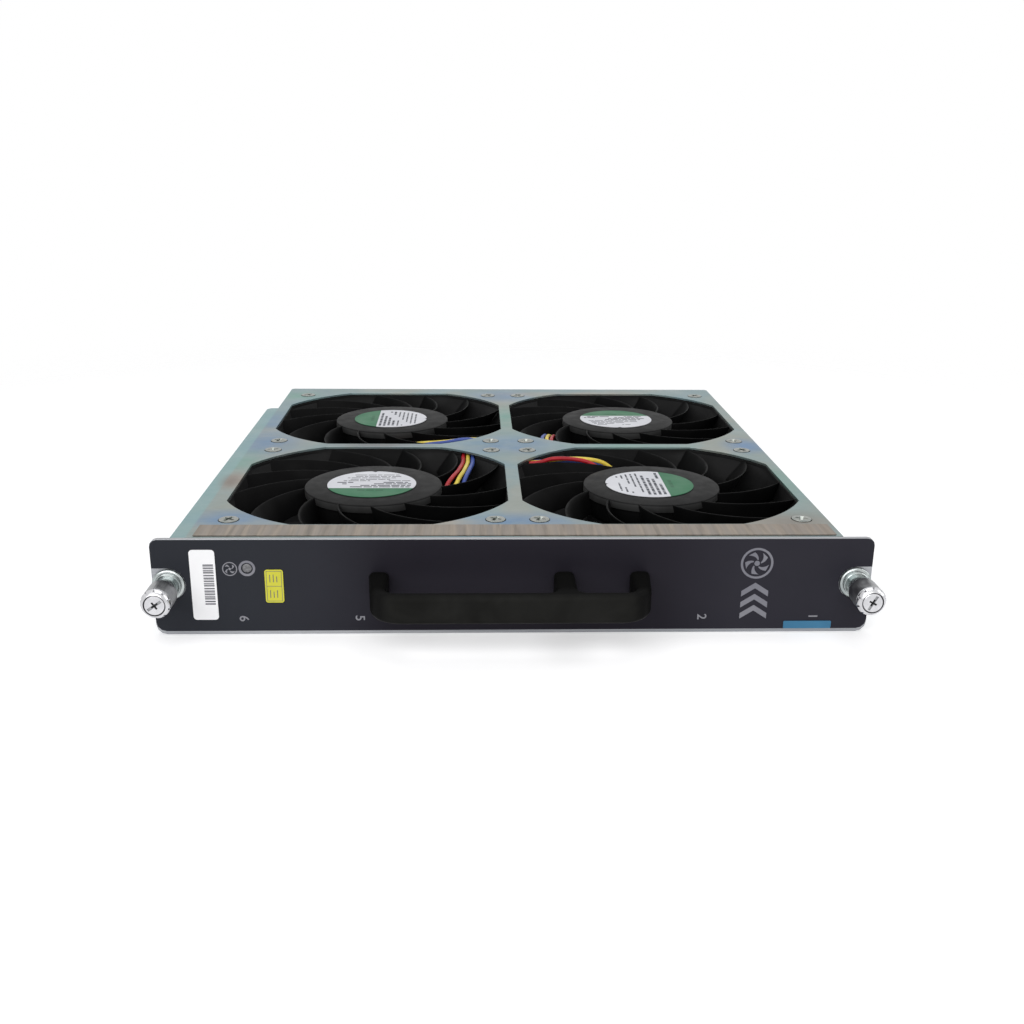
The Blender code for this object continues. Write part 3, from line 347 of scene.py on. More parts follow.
plated = plated_look()
bare = bare_look()
film = film_look()
gasket_cloth = gasket_look()
copper = coil_look()
board_green = board_look()
lens = lens_look()

# Painted shade on the handle, as bands along Y: where they start and end, their share and tone. Behind its
# front face the handle is painted darker, and its legs near the plate darkest, as painted shadow.
handle_painted_shade_bands = ((-0.1526, -0.1502, 0.9, (0.0078, 0.0078, 0.0078)),
                (-0.148, -0.144, 0.8, (0.0042, 0.0042, 0.004)))

# Plastics: lower and upper tone, roughness, reflection and the scale of the spark grain
handle_black = moulded_look("handle_plastic", (0.0112, 0.0112, 0.0104), (0.018, 0.018, 0.0168), 0.36, 0.005,
                            bands=handle_painted_shade_bands)
fan_black = moulded_look("fan_plastic", (0.0085, 0.0085, 0.0086), (0.014, 0.014, 0.0142), 0.5, 0.06, 1100)
# Darker copy of the frame's plastic for the vanes and the hub below its rim: painted shade
vane_painted_shade_black = moulded_look("vane_plastic_painted_shade", (0.0035, 0.0035, 0.0036), (0.0062, 0.0062, 0.0063), 0.48, 0.025,
                          1100)
# Lighter copy of the frame's plastic for the hub's rim wall: painted light
rim_painted_light_black = moulded_look("hub_rim_plastic_painted_light", (0.024, 0.024, 0.024), (0.038, 0.038, 0.038), 0.5, 0.1, 1100)
rotor_black = moulded_look("rotor_plastic", (0.0055, 0.0055, 0.0057), (0.0095, 0.0095, 0.01), 0.46, 0.03)
plug_black = moulded_look("plug_plastic", (0.022, 0.022, 0.026), (0.035, 0.035, 0.039), 0.45, 0.4)
cable_black = moulded_look("cable_jacket", (0.045, 0.045, 0.05), (0.07, 0.07, 0.075), 0.42, 0.4)

# Metals: lower and upper tone, and roughness
zinc = bright_look("zinc_screws", (0.3, 0.31, 0.315), (0.52, 0.53, 0.54), 0.24)
polished = bright_look("polished_ring", (0.5, 0.5, 0.515), (0.68, 0.68, 0.7), 0.2)
knurled = bright_look("knob_steel", (0.2, 0.205, 0.215), (0.36, 0.365, 0.375), 0.34)
shade = bright_look("recess_shade", (0.06, 0.06, 0.063), (0.12, 0.12, 0.125), 0.4)
ferrule_zinc = bright_look("ferrule_zinc", (0.26, 0.295, 0.295), (0.5, 0.53, 0.525), 0.2)
recess = bright_look("slot_steel", (0.26, 0.265, 0.275), (0.36, 0.365, 0.375), 0.4)
screw_zinc = bright_look("deck_screw_zinc", (0.19, 0.215, 0.205), (0.34, 0.345, 0.32), 0.34)
wire_steel = bright_look("spring_steel", (0.45, 0.45, 0.46), (0.62, 0.62, 0.63), 0.25, (0.2, 0.2, 1))
gold = bright_look("contact_gold", (0.62, 0.42, 0.13), (0.78, 0.56, 0.22), 0.22)

# Labels and print: lower and upper tone, roughness and reflection
paper = paper_look("label_paper", (0.61, 0.62, 0.665), (0.68, 0.69, 0.73))
sticker_white = paper_look("sticker_white", (0.885, 0.885, 0.9), (0.925, 0.925, 0.935))
label_green = paper_look("label_green", (0.04, 0.15, 0.078), (0.056, 0.19, 0.103), 0.42, 0.06)
label_deep = paper_look("label_deep", (0.028, 0.108, 0.056), (0.04, 0.138, 0.074), 0.42, 0.06)
label_ink = paper_look("label_ink", (0.06, 0.065, 0.08), (0.1, 0.105, 0.12), 0.5, 0.1)
yellow = paper_look("yellow_film", (0.55, 0.53, 0.035), (0.63, 0.6, 0.055), 0.4)
blue = paper_look("blue_film", (0.029, 0.142, 0.262), (0.046, 0.188, 0.325), 0.4)
print_grey = paper_look("print_grey", (0.21, 0.21, 0.235), (0.27, 0.27, 0.295))
print_light = paper_look("print_light", (0.17, 0.17, 0.2), (0.23, 0.23, 0.255))
print_dark = paper_look("print_dark", (0.09, 0.09, 0.11), (0.13, 0.13, 0.15))

lead_looks = (
    ("red", jacket_look("lead_red", (0.3, 0.006, 0.014), (0.44, 0.016, 0.024))),
    ("yellow", jacket_look("lead_yellow", (0.6, 0.46, 0.05), (0.76, 0.62, 0.12))),
    ("blue", jacket_look("lead_blue", (0.035, 0.065, 0.27), (0.065, 0.105, 0.36))),
)


# Mesh helpers

def link_object(name, data, place=(0, 0, 0), turn=(0, 0, 0)):
    made = bpy.data.objects.new(name, data)
    made.location = place
    made.rotation_euler = turn
    bpy.context.scene.collection.objects.link(made)
    return made


def mesh_of(name, builder, *looks):
    """Make a mesh of a bmesh, with its faces outward and its looks."""
    bmesh.ops.recalc_face_normals(builder, faces=builder.faces)
    mesh = bpy.data.meshes.new(name)
    builder.to_mesh(mesh)
    builder.free()
    for look in looks:
        mesh.materials.append(look)
    return mesh


def shown_mesh(holder):
    """The mesh that an object shows. The object goes."""
    view = bpy.context.evaluated_depsgraph_get()
    mesh = bpy.data.meshes.new_from_object(holder.evaluated_get(view))
    bpy.data.objects.remove(holder)
    return mesh


def put(name, mesh, slot, covers=(), smooth=40, place=(0, 0, 0), turn=(0, 0, 0), body="tray"):
    """Make an object of a mesh, let it ride on a body and stand for its nodes."""
    mesh.shade_smooth()
    mesh.set_sharp_from_angle(angle=radians(smooth))
    made = link_object(name, mesh, place, turn)
    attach(made, body)
    if covers:
        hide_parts(*covers)
    return made


def piece(name, builder, looks, *rest):
    """Put a bmesh with its looks."""
    return put(name, mesh_of(name, builder, *looks), *rest)


def turned(name, profile, segments, looks, *rest, marks=None):
    """Put a turned profile with its looks."""
    builder = bmesh.new()
    lathe(builder, profile, segments, marks)
    piece(name, builder, looks, *rest)


def bevel(made, width, segments=2, angle=35):
    step = made.modifiers.new("edge", "BEVEL")
    step.width = width
    step.segments = segments
    step.limit_method = "ANGLE"
    step.angle_limit = radians(angle)
    step.harden_normals = True


def skin(builder, rings, closed=False, mark=0):
    """Join equal rings of points, with flat caps unless the rings close up."""
    rows = [[builder.verts.new(point) for point in ring] for ring in rings]
    count = len(rows[0])
    pairs = list(zip(rows, rows[1:]))
    if closed:
        pairs.append((rows[-1], rows[0]))
    for low, high in pairs:
        for i in range(count):
            j = (i + 1) % count
            builder.faces.new((low[i], low[j], high[j], high[i])).material_index = mark
    if not closed:
        builder.faces.new(list(reversed(rows[0]))).material_index = mark
        builder.faces.new(rows[-1]).material_index = mark


def prism(builder, outline, low, high, axis="Z", mark=0):
    """The outline lies in XY for axis Z, and in XZ for axis Y."""
    rings = [[(u, v, w) if axis == "Z" else (u, w, v) for u, v in outline] for w in (low, high)]
    skin(builder, rings, mark=mark)


def box(low, high):
    return [(low[0], low[1]), (high[0], low[1]), (high[0], high[1]), (low[0], high[1])]


def brick(builder, low, high, mark=0):
    prism(builder, box(low, high), low[2], high[2], mark=mark)


def circle_point(radius, angle, centre=(0.0, 0.0)):
    return (centre[0] + radius * cos(angle), centre[1] + radius * sin(angle))


def arc(centre, radius, start, end, steps):
    """Points of an arc, with its angles in degrees."""
    return [circle_point(radius, radians(start + (end - start) * i / steps), centre)
            for i in range(steps + 1)]


def circle(radius, count, centre=(0.0, 0.0)):
    return [circle_point(radius, 2 * pi * k / count, centre) for k in range(count)]


def rounded(low, high, radius, steps=6):
    """A rectangle with round corners, anticlockwise from its lower right."""
    left, bottom, right, top = low[0] + radius, low[1] + radius, high[0] - radius, high[1] - radius
    outline = []
    for k, corner in enumerate(((right, bottom), (right, top), (left, top), (left, bottom))):
        outline += arc(corner, radius, 90 * k - 90, 90 * k, steps)
    return outline


def lathe(builder, profile, segments, marks=None, wobble=None):
    """Turn a profile of radius and height about Z. A point on the axis closes it."""
    rows = []
    for k, (radius, height) in enumerate(profile):
        if radius == 0:
            rows.append([builder.verts.new((0, 0, height))])
            continue
        row = []
        for i in range(segments):
            reach = radius + (wobble(k, i) if wobble else 0.0)
            row.append(builder.verts.new((*circle_point(reach, 2 * pi * i / segments), height)))
        rows.append(row)
    for k, (low, high) in enumerate(zip(rows, rows[1:])):
        for i in range(segments):
            j = (i + 1) % segments
            corners = (low[i % len(low)], low[j % len(low)], high[j % len(high)], high[i % len(high)])
            face = builder.faces.new(list(dict.fromkeys(corners)))
            face.material_index = marks[k] if marks else 0


def tube(builder, points, radius, sides):
    points = [Vector(point) for point in points]
    tangents = []
    for i in range(len(points)):
        before = points[max(i - 1, 0)]
        after = points[min(i + 1, len(points) - 1)]
        tangents.append((after - before).normalized())
    side = tangents[0].orthogonal().normalized()
    rings = []
    for point, tangent in zip(points, tangents):
        side = (side - tangent * side.dot(tangent)).normalized()
        other = tangent.cross(side)
        rings.append([point + side * u + other * v for u, v in circle(radius, sides)])
    skin(builder, rings)


def between(a, b, low, high, t):
    """The place between two points for a value between two others."""
    return a * ((high - t) / (high - low)) + b * ((t - low) / (high - low))


def smooth_path(points, steps=6):
    """Points along a centripetal curve through the given ones."""
    points = [Vector(point) for point in points]
    points = [points[0] * 2 - points[1]] + points + [points[-1] * 2 - points[-2]]
    made = []
    for a, b, c, d in zip(points, points[1:], points[2:], points[3:]):
        t1 = (b - a).length ** 0.5
        t2 = t1 + (c - b).length ** 0.5
        t3 = t2 + (d - c).length ** 0.5
        for i in range(steps):
            t = t1 + (t2 - t1) * i / steps
            middle = between(b, c, t1, t2, t)
            first = between(between(a, b, 0.0, t1, t), middle, 0.0, t2, t)
            last = between(middle, between(c, d, t2, t3, t), t1, t3, t)
            made.append(between(first, last, t1, t2, t))
    made.append(points[-2])
    return made


def cut_away(mesh, cutter_mesh):
    """The mesh without what lies in the cutter."""
    made = link_object("cut", mesh)
    cutter = link_object("cutter", cutter_mesh)
    step = made.modifiers.new("cut", "BOOLEAN")
    step.operation = "DIFFERENCE"
    step.solver = "EXACT"
    step.object = cutter
    mesh = shown_mesh(made)
    bpy.data.objects.remove(cutter)
    return mesh


def dressed(node, looks, slot, width, chosen=None):
    """A copy of a CAD node with softened edges, and chosen faces in a second look."""
    source = frame["nodes"][node]
    builder = bmesh.new()
    builder.from_mesh(source.data)
    bmesh.ops.remove_doubles(builder, verts=builder.verts, dist=1e-6)
    bmesh.ops.dissolve_limit(builder, angle_limit=radians(1), verts=builder.verts, edges=builder.edges)
    for face in builder.faces:
        face.material_index = 1 if chosen and chosen(face.calc_center_median()) else 0
    mesh = mesh_of(node + "_dressed", builder, *looks)
    bevel(put(node + "_dressed", mesh, slot, (node,), 35, body=source["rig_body"]), width)


# CAD nodes that show as they are get their finished materials

for look, nodes in (
    (gasket_cloth, ["emi_gasket"]),
    (film, ["face_overlay"]),
    (blue, ["blue_sticker"]),
    (board_green, ["status_board"]),
    (cable_black, ["status_cable"]),
    (zinc, ["left_screw_collar", "right_screw_collar", "handle_screw_1", "handle_screw_2", "handle_screw_3"]),
    (copper, [name + "_motor_coils" for name, x, y, turn, label_turn in fans]),
):
    for node in nodes:
        materials = frame["nodes"][node].data.materials
        materials.clear()
        materials.append(look)


# Sheet metal with softened edges

def sheet_mesh(name, outlines, low, high, edge, look):
    """A flat sheet with holes and softened edges."""
    curve = bpy.data.curves.new(name, "CURVE")
    curve.dimensions = "2D"
    curve.fill_mode = "BOTH"
    curve.extrude = (high - low) / 2 - edge
    curve.bevel_depth = edge
    curve.bevel_resolution = 1
    curve.offset = -edge
    for outline in outlines:
        spline = curve.splines.new("POLY")
        spline.points.add(len(outline) - 1)
        spline.use_cyclic_u = True
        for point, (x, y) in zip(spline.points, outline):
            point.co = (x, y, 0, 1)
    builder = bmesh.new()
    builder.from_mesh(shown_mesh(link_object(name, curve)))
    bmesh.ops.remove_doubles(builder, verts=builder.verts, dist=1e-6)
    bmesh.ops.translate(builder, verts=builder.verts, vec=(0, 0, (low + high) / 2))
    return mesh_of(name, builder, look)


def opening_outline(x, y):
    """A circle clipped by a square, the shape of each opening."""
    start = degrees(acos(open_half / open_radius))
    points = []
    for quarter in range(4):
        points += arc((x, y), open_radius, 90 * quarter + start, 90 * quarter + 90 - start, 22)
    return points


def make_deck():
    """Top sheet with four openings, sixteen screw holes and the guide flange on its left side."""
    left, right, front, back = -0.1242, 0.1258, -0.1208, 0.145
    wall, guide_left, guide_end, corner, guide_corner = -0.1237, -0.1299, 0.0933, 0.002, 0.0035
    hole, edge = 0.00412, 0.00015
    outline = [(left, wall), (left, front), (right, front)]
    outline += arc((right - corner, back - corner), corner, 0, 90, 8)
    outline += arc((left + corner, back - corner), corner, 90, 180, 8)
    outline.append((left, guide_end))
    outline += arc((guide_left + guide_corner, guide_end - guide_corner), guide_corner, 90, 180, 10)
    outline.append((guide_left, wall))
    outlines = [outline] + [opening_outline(x, y) for name, x, y, turn, label_turn in fans]
    outlines += [arc(place, hole, 0, 351, 39) for place in hole_places]
    mesh = sheet_mesh("fan_deck_sheet", outlines, deck_top - sheet, deck_top, edge, plated)
    put("fan_deck_sheet", mesh, "plated_steel", ("fan_deck",), 12)


def on_contact(point):
    """Whether a face of the rear plug is one of its raised contacts."""
    return abs(point.x - lane[0]) > 0.00152 and 0.1486 < point.y < 0.1524


make_deck()
dressed("tray_pan", [plated], "plated_steel", 0.00025)
dressed("faceplate", [bare], "bare_steel", 0.00012)
dressed("rear_plug", [plug_black, gold], "plug_plastic", 0.0001, on_contact)


# Handle

def handle_outline():
    left, right = -0.0554, 0.0509
    base, face, inner = -0.12675, -0.153, -0.1478
    corner, fillet, leg, taper = 0.012, 0.004, 0.0078, 0.0015
    outline = [(left, base)]
    outline += arc((left + taper + corner, face + corner), corner, 180, 270, 14)
    outline += arc((right - taper - corner, face + corner), corner, 270, 360, 14)
    outline.append((right, base))
    legs = (0.047, 0.0182, -0.0515)
    for outer_leg, inner_leg in zip(legs, legs[1:]):
        gap_right = outer_leg - leg / 2
        gap_left = inner_leg + leg / 2
        outline.append((gap_right, base))
        outline += arc((gap_right - fillet, inner + fillet), fillet, 0, -90, 8)
        outline += arc((gap_left + fillet, inner + fillet), fillet, -90, -180, 8)
        outline.append((gap_left, base))
    return outline


def make_handle():
    half = 0.0056
    builder = bmesh.new()
    prism(builder, handle_outline(), fix_z - half, fix_z + half)
    made = piece("pull_handle_body", builder, [handle_black], "handle_plastic", ("pull_handle",), 50)
    bevel(made, 0.0022, 5, 50)


make_handle()


# Captive screws: turned about Z here, then stood on the plate to look out along -Y

cross_taper = 0.6


def stand(x):
    return (x, panel_face, fix_z), (radians(90), 0, 0)


def cross(arm, width):
    """A cross's outline."""
    return [(arm, width), (width, width), (width, arm), (-width, arm), (-width, width), (-arm, width),
            (-arm, -width), (-width, -width), (-width, -arm), (width, -arm), (width, -width), (arm, -width)]


def recess_mesh(outline, low, high, look, angle=0.0, taper=1.0):
    """A recess of this outline, narrower at its bottom by its taper."""
    builder = bmesh.new()
    skin(builder, [[(u * taper, v * taper, low) for u, v in outline], [(u, v, high) for u, v in outline]])
    bmesh.ops.transform(builder, matrix=Matrix.Rotation(angle, 4, "Z"), verts=builder.verts)
    return mesh_of("recess", builder, look)


def make_knob(side, x):
    """Sleeve with a fine knurl and a bright notched ring, the slotted head inside it, and the shank."""
    notches, steps = 10, 16
    radius, skirt, start, end, thread = 0.0055, 0.0044, 0.009, 0.021, 0.0019
    grip, head, groove = radius - 0.00005, 0.0037, 0.0009
    skirt_top = start + 0.0082
    profile = [
        (thread, skirt_top), (skirt, skirt_top), (skirt, start + 0.0003),
        (skirt + 0.0003, start), (radius - 0.0005, start), (radius - 0.00015, start + 0.00035),
        (grip, start + 0.0006), (grip, start + 0.0034), (grip, start + 0.0062), (grip, end - 0.0029),
        (radius - 0.00035, end - 0.0027), (radius - 0.00035, end - 0.0025),
        (radius, end - 0.0023), (radius, end - 0.0017),
        (radius - 0.0006, end - 0.0007), (radius - 0.0012, end - 0.00014), (radius - 0.0014, end),
        (head + 0.00035, end), (head + 0.00025, end - 0.0001), (head + 0.00025, end - groove),
        (head, end - groove), (head, end - 0.00018), (head - 0.00018, end), (0, end),
    ]
    knurl_rows, ring_rows, ring_first, groove_rows = (6, 7, 8, 9), (12, 13), 11, (17, 18, 19)
    marks = [2 if k in groove_rows else int(k >= ring_first) for k in range(len(profile) - 1)]

    def shape(k, i):
        if k in knurl_rows:
            return -0.00009 * (0.5 - 0.5 * cos(pi * (i % 4) / 2))
        if k in ring_rows:
            return {7: -0.00045, 8: -0.0006, 9: -0.00045}.get(i % steps, 0.0)
        return 0.0

    builder = bmesh.new()
    lathe(builder, profile, notches * steps, marks, shape)
    place, turn = stand(x)
    body = side + "_screw"
    mesh = mesh_of(side + "_knob", builder, knurled, polished, shade, recess)
    angle = radians(35 if side == "left" else 62)
    top, slot_floor, cross_floor = end + 0.0005, end - 0.00035, end - 0.0015
    slot = box((-0.003, -0.00052), (0.003, 0.00052))
    mesh = cut_away(mesh, recess_mesh(slot, slot_floor, top, recess, angle))
    mesh = cut_away(mesh, recess_mesh(cross(0.0017, 0.0004), cross_floor, top, shade, angle, cross_taper))
    put(side + "_knob", mesh, "knob_steel", (side + "_captive_screw",), 38, place, turn, body)

    tip, chamfer = -0.0024, 0.0005
    top = skirt_top + 0.0002
    profile = [(0, tip), (thread - chamfer, tip), (thread, tip + chamfer), (thread, top), (0, top)]
    turned(side + "_screw_shank", profile, 24, [zinc], "zinc_screws", (), 40, place, turn, body)


def make_ferrule(side, x):
    """Ferrule with a rounded flange and a step, pressed into the plate."""
    flange, step, barrel, bore = 0.00615, 0.0049, 0.0039, 0.0023
    foot, flange_top, end, tail = 0.00015, 0.00165, 0.008, -0.0028
    top = foot + 0.003
    profile = [
        (0.0034, tail), (barrel - 0.0003, tail), (barrel - 0.0003, foot), (flange - 0.0001, foot),
        (flange, foot + 0.0002), (flange, foot + 0.0009), (flange - 0.0002, foot + 0.00125),
        (flange - 0.0006, flange_top), (step + 0.0001, flange_top), (step, foot + 0.0016),
        (step, top - 0.00025), (step - 0.00025, top), (barrel, top), (barrel, end - 0.0004),
        (barrel - 0.0004, end), (bore + 0.0003, end), (bore, end - 0.0003), (bore, end - 0.0008),
        (0.0031, end - 0.0008),
    ]
    shaded_rows = (3, 8)
    marks = [int(k in shaded_rows) for k in range(len(profile) - 1)]
    turned(side + "_ferrule", profile, 64, (ferrule_zinc, shade), "zinc_screws", (side + "_screw_ferrule",),
           40, *stand(x), marks=marks)


def make_spring(side, x):
    """Coil spring inside the ferrule."""
    wire, radius, turns, steps = 0.0002, 0.0026, 4, 20
    rear, front, anchor, push = -0.1245, -0.1313, -0.124, 0.005
    points = []
    for i in range(turns * steps + 1):
        share = i / (turns * steps)
        across, up = circle_point(radius, 2 * pi * turns * share, (x, fix_z))
        points.append((across, rear + (front - rear) * share, up))
    builder = bmesh.new()
    tube(builder, points, wire, 10)
    made = piece(side + "_spring", builder, [wire_steel], "spring_steel", (side + "_screw_spring",), 60)
    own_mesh(made)


for side, x in (("left", -captive_x), ("right", captive_x)):
    make_knob(side, x)
    make_ferrule(side, x)
    make_spring(side, x)


# Deck screws share one mesh, each turned its own way

def deck_screw_mesh():
    head, shank, foot = 0.0039, 0.0019, -0.0075
    profile = [(0, foot), (shank - 0.0003, foot), (shank, foot + 0.0003), (shank, -0.0019),
               (head - 0.0003, -0.0003), (head, -0.00018), (head - 0.0001, -0.00006),
               (head - 0.0005, 0.00003), (0.0028, 0.00008), (0, 0.0001)]
    builder = bmesh.new()
    lathe(builder, profile, 40)
    taken = recess_mesh(cross(0.0027, 0.00072), -0.0016, 0.0004, shade, taper=cross_taper)
    return cut_away(mesh_of("deck_screw", builder, screw_zinc), taken)


screw_mesh = deck_screw_mesh()
screw_rise = 0.0003
for count, place in enumerate(hole_places, 1):
    node = "deck_screw_" + str(count).zfill(2)
    angle = radians((count * 47 + 11) % 90)
    put(node + "_piece", screw_mesh, "zinc_screws", (node,), 30, (*place, deck_top + screw_rise),
        (0, 0, angle))


# Fans

def fold(angle):
    """The same direction within an eighth of a turn, measured from the nearest side's middle."""
    return abs((angle + pi / 4) % (pi / 2) - pi / 4)


def square_reach(angle):
    """Distance from a fan's middle to its rounded square outline."""
    folded = fold(angle)
    middle = fan_half - fan_corner
    if tan(folded) * fan_half <= middle + 1e-9:
        return fan_half / cos(folded)
    along = middle * (cos(folded) + sin(folded))
    return along + sqrt(along ** 2 - 2 * middle ** 2 + fan_corner ** 2)


def clipped(angle, half, radius):
    """Distance from a fan's middle to a circle clipped by a square."""
    return min(half / cos(fold(angle)), radius)


def mouth_reach(angle):
    return clipped(angle, open_half, open_radius)


def curved_sheet(builder, inner, outer, start, sweep, top, height, lean, thickness, steps, levels,
                 round_edge, curl=0.0, mark=0):
    """A blade out from one radius. It turns by sweep on its way out and by lean on its way down."""
    edge = round_edge / height
    down = [(0.0, 0.35), (edge * 0.35, 0.8)] + [(max(k / levels, edge), 1.0) for k in range(levels)]
    down += [(1 - edge * 0.5, 0.8), (1.0, 0.3)]
    both = down + [(depth, -side) for depth, side in reversed(down)]
    rings = []
    for i in range(steps + 1):
        share = i / steps
        ring = []
        for depth, side in both:
            radius = inner + (outer(depth) - inner) * share
            bow = curl * sin(pi * depth) * share
            turn = radians(start + sweep * share + lean * depth + bow)
            turn += side * thickness / 2 / radius
            ring.append((*circle_point(radius, turn), top - height * depth))
        rings.append(ring)
    skin(builder, rings, mark=mark)


def frame_angles():
    """Angles of the frame's rings, with one at each corner of its outlines."""
    corner = degrees(atan((fan_half - fan_corner) / fan_half))
    clip = degrees(acos(open_half / open_radius))
    eighth = [clip * k / 3 for k in range(4)] + [clip + (corner - clip) * k / 3 for k in (1, 2, 3)]
    eighth += [corner + (45 - corner) * k / 2 for k in (1, 2)]
    quarter = eighth + [90 - a for a in reversed(eighth[1:-1])]
    return [radians(90 * q + a) for q in range(4) for a in quarter]


def frame_body():
    """Square frame with a round duct that flares into a clipped mouth, and the slot for the leads."""
    waist, skim = fan_half - 0.0003, 0.0003
    depth, flange, mouth_depth, wall, lip = 0.032, 0.0045, 0.011, 0.0012, 0.0008
    angles = frame_angles()
    levels = [
        (mouth_reach, -skim), (lambda a: mouth_reach(a) + skim, 0.0), (square_reach, 0.0),
        (square_reach, -flange), (lambda a: clipped(a, waist, open_radius + wall), -flange),
        (lambda a: waist, -mouth_depth - wall), (lambda a: waist, flange - depth),
        (square_reach, flange - depth), (square_reach, -depth), (lambda a: duct + lip, -depth),
        (lambda a: duct, lip - depth)]
    for share, z in ((0.0, -0.0125), (0.04, -0.011), (0.25, -0.0088), (0.55, -0.0058), (0.85, -0.0028),
                     (1.0, -0.0013)):
        levels.append((lambda a, share=share: duct + (mouth_reach(a) - duct) * share, z))
    rings = [[(*circle_point(reach(a), a), z) for a in angles] for reach, z in levels]
    builder = bmesh.new()
    skin(builder, rings, closed=True)
    whole = mesh_of("frame_body", builder, fan_black)
    half_width, inside, outside, floor, roof = 0.00345, duct * 0.7, 0.0615, -0.0038, 0.001
    builder = bmesh.new()
    brick(builder, (slot_x - half_width, inside, floor), (slot_x + half_width, outside, roof))
    cut_mesh = cut_away(whole, mesh_of("frame_slot", builder))
    builder = bmesh.new()
    builder.from_mesh(cut_mesh)
    return builder


def fan_frame_mesh():
    """The frame with thirteen guide vanes and the fixed hub, with painted shade on the vanes and the lower
    hub and painted light on the hub's rim wall.
    """
    builder = frame_body()
    step, roof, tube_out, tube_in, tube_foot = 0.0011, -0.0026, 0.0047, 0.00165, -0.0262
    # Row marks: 2 puts the rim's wall in the lighter copy, painted light; 1 puts the hub below it in the
    # darker copy, painted shade
    lathe(builder, [
        (0, 0), (label_radius, 0), (hub - 0.0007, 0.0), (hub - 0.0002, -0.00018), (hub, -0.0006),
        (hub, -0.0032), (hub - 0.00015, -0.0035), (hub - step, -0.0036), (hub - step, -0.0105),
        (hub - 0.0014, -0.011), (hub - 0.0031, -0.011), (hub - 0.0031, roof), (tube_out, roof),
        (tube_out, tube_foot), (tube_in, tube_foot), (tube_in, roof), (0, roof)], 96,
        [0, 0, 0, 0, 2, 2] + [1] * 10)
    inner, vanes, first, full_sweep, top_grip, foot_grip = hub - 0.0021, 13, 21.5, 30.0, 0.0006, 0.0012
    for i in range(vanes):
        start = first + 360.0 * i / vanes
        sweep = full_sweep
        for again in range(3):
            wall_at = mouth_reach(radians(start + sweep)) + top_grip
            sweep = full_sweep * (wall_at - inner) / (duct - inner)

        def outer(depth_share, wall_at=wall_at):
            return wall_at + (duct + foot_grip - wall_at) * depth_share

        # Mark 1 puts the vanes in the darker copy of the plastic: painted shade
        curved_sheet(builder, inner, outer, start, sweep, top=-0.0002, height=0.0098, lean=5.0,
                     thickness=0.0011, steps=14, levels=4, round_edge=0.0005, mark=1)
    return mesh_of("fan_frame", builder, fan_black, vane_painted_shade_black, rim_painted_light_black)


def rotor_mesh():
    """Cup with seven raked blades. Z = 0 is the frame's top face."""
    radius, bottom, top, wall, shaft, shaft_top = 0.028, -0.0306, -0.0124, 0.0022, 0.0015, -0.0029
    groove = 0.0004
    builder = bmesh.new()
    lathe(builder, [
        (0, bottom), (0.012, bottom), (0.0125, bottom + groove), (0.0215, bottom + groove),
        (0.022, bottom), (radius - 0.0014, bottom), (radius - 0.0005, bottom + 0.0004),
        (radius, bottom + 0.0014), (radius, top - 0.0003), (radius - 0.0003, top),
        (radius - wall, top), (radius - wall, bottom + wall), (shaft, bottom + wall),
        (shaft, shaft_top), (0, shaft_top)], 96)
    blades, tip = 7, 0.0565
    for i in range(blades):
        curved_sheet(builder, radius - 0.0012, lambda depth: tip, 360.0 * i / blades, sweep=-14.0, top=-0.013,
                     height=0.0168, lean=44.0, thickness=0.0028, steps=8, levels=10, round_edge=0.0012,
                     curl=2.0)
    return mesh_of("fan_rotor", builder, rotor_black)


frame_mesh = fan_frame_mesh()
wheel_mesh = rotor_mesh()
for name, x, y, turn, label_turn in fans:
    put(name + "_housing", frame_mesh, "fan_plastic", (name + "_frame",), 32, (x, y, fan_top),
        (0, 0, radians(turn)))
    put(name + "_impeller", wheel_mesh, "rotor_plastic", (name + "_rotor",), 32, (x, y, fan_top),
        body=name + "_wheel")


# Fan labels: a white disc with a green segment, a notch and rows of plain bars

def print_rows(builder, seed, radius, low, high):
    """Rows of bars of changing lengths, finer in the first rows."""
    pitch, gap, fine_rows = 0.00225, 0.0006, 5
    for row in range(9):
        u = -0.0138 + row * pitch
        span = sqrt(radius ** 2 - u ** 2) - 0.0022
        v = -span + 0.001 * (seed % 3)
        thick = 0.0008 if row < fine_rows else 0.0012
        step = 0
        while v < span - 0.0012:
            step += 1
            pick = (seed * 31 + row * 17 + step * 7) % 11
            end = min(v + 0.0011 + 0.00042 * pick, span)
            if (pick + row) % 4 != 3 and abs(v) < span:
                brick(builder, (u, v, low), (u + thick, end, high), mark=2)
            v = end + gap


def label_disc(name, x, y, turn):
    radius, split, notch, notch_depth, rim = label_radius, 0.0066, 0.0011, 0.0013, 0.0002
    low, high = 0.03615, 0.03635
    ink_low, ink_high = high - 0.00001, high + 0.000015
    reach = degrees(acos(split / radius))
    white = [p for p in arc((0, 0), radius, reach, 360 - reach, 80)
             if abs(atan2(p[1], -p[0])) > notch / radius]
    half = len(white) // 2
    white[half:half] = [(rim - radius, notch), (notch_depth - radius, 0.0), (rim - radius, -notch)]
    builder = bmesh.new()
    prism(builder, white, low, high)
    prism(builder, arc((0, 0), radius, -reach, reach, 40), low, high, mark=1)
    print_rows(builder, sum(ord(letter) for letter in name), radius, ink_low, ink_high)
    for v in (-0.004, 0.0, 0.004):
        brick(builder, (split + 0.0022, v - 0.0016, ink_low), (split + 0.0038, v + 0.0016, ink_high), mark=3)
    looks = (paper, label_green, label_ink, label_deep)
    piece(name + "_label_disc", builder, looks, "label_paper", (name + "_label",), 40,
          (x + label_shift, y, 0), (0, 0, radians(turn)))


for name, x, y, turn, label_turn in fans:
    label_disc(name, x, y, label_turn)


# Leads, each in its own colour, crimped into one end per fan

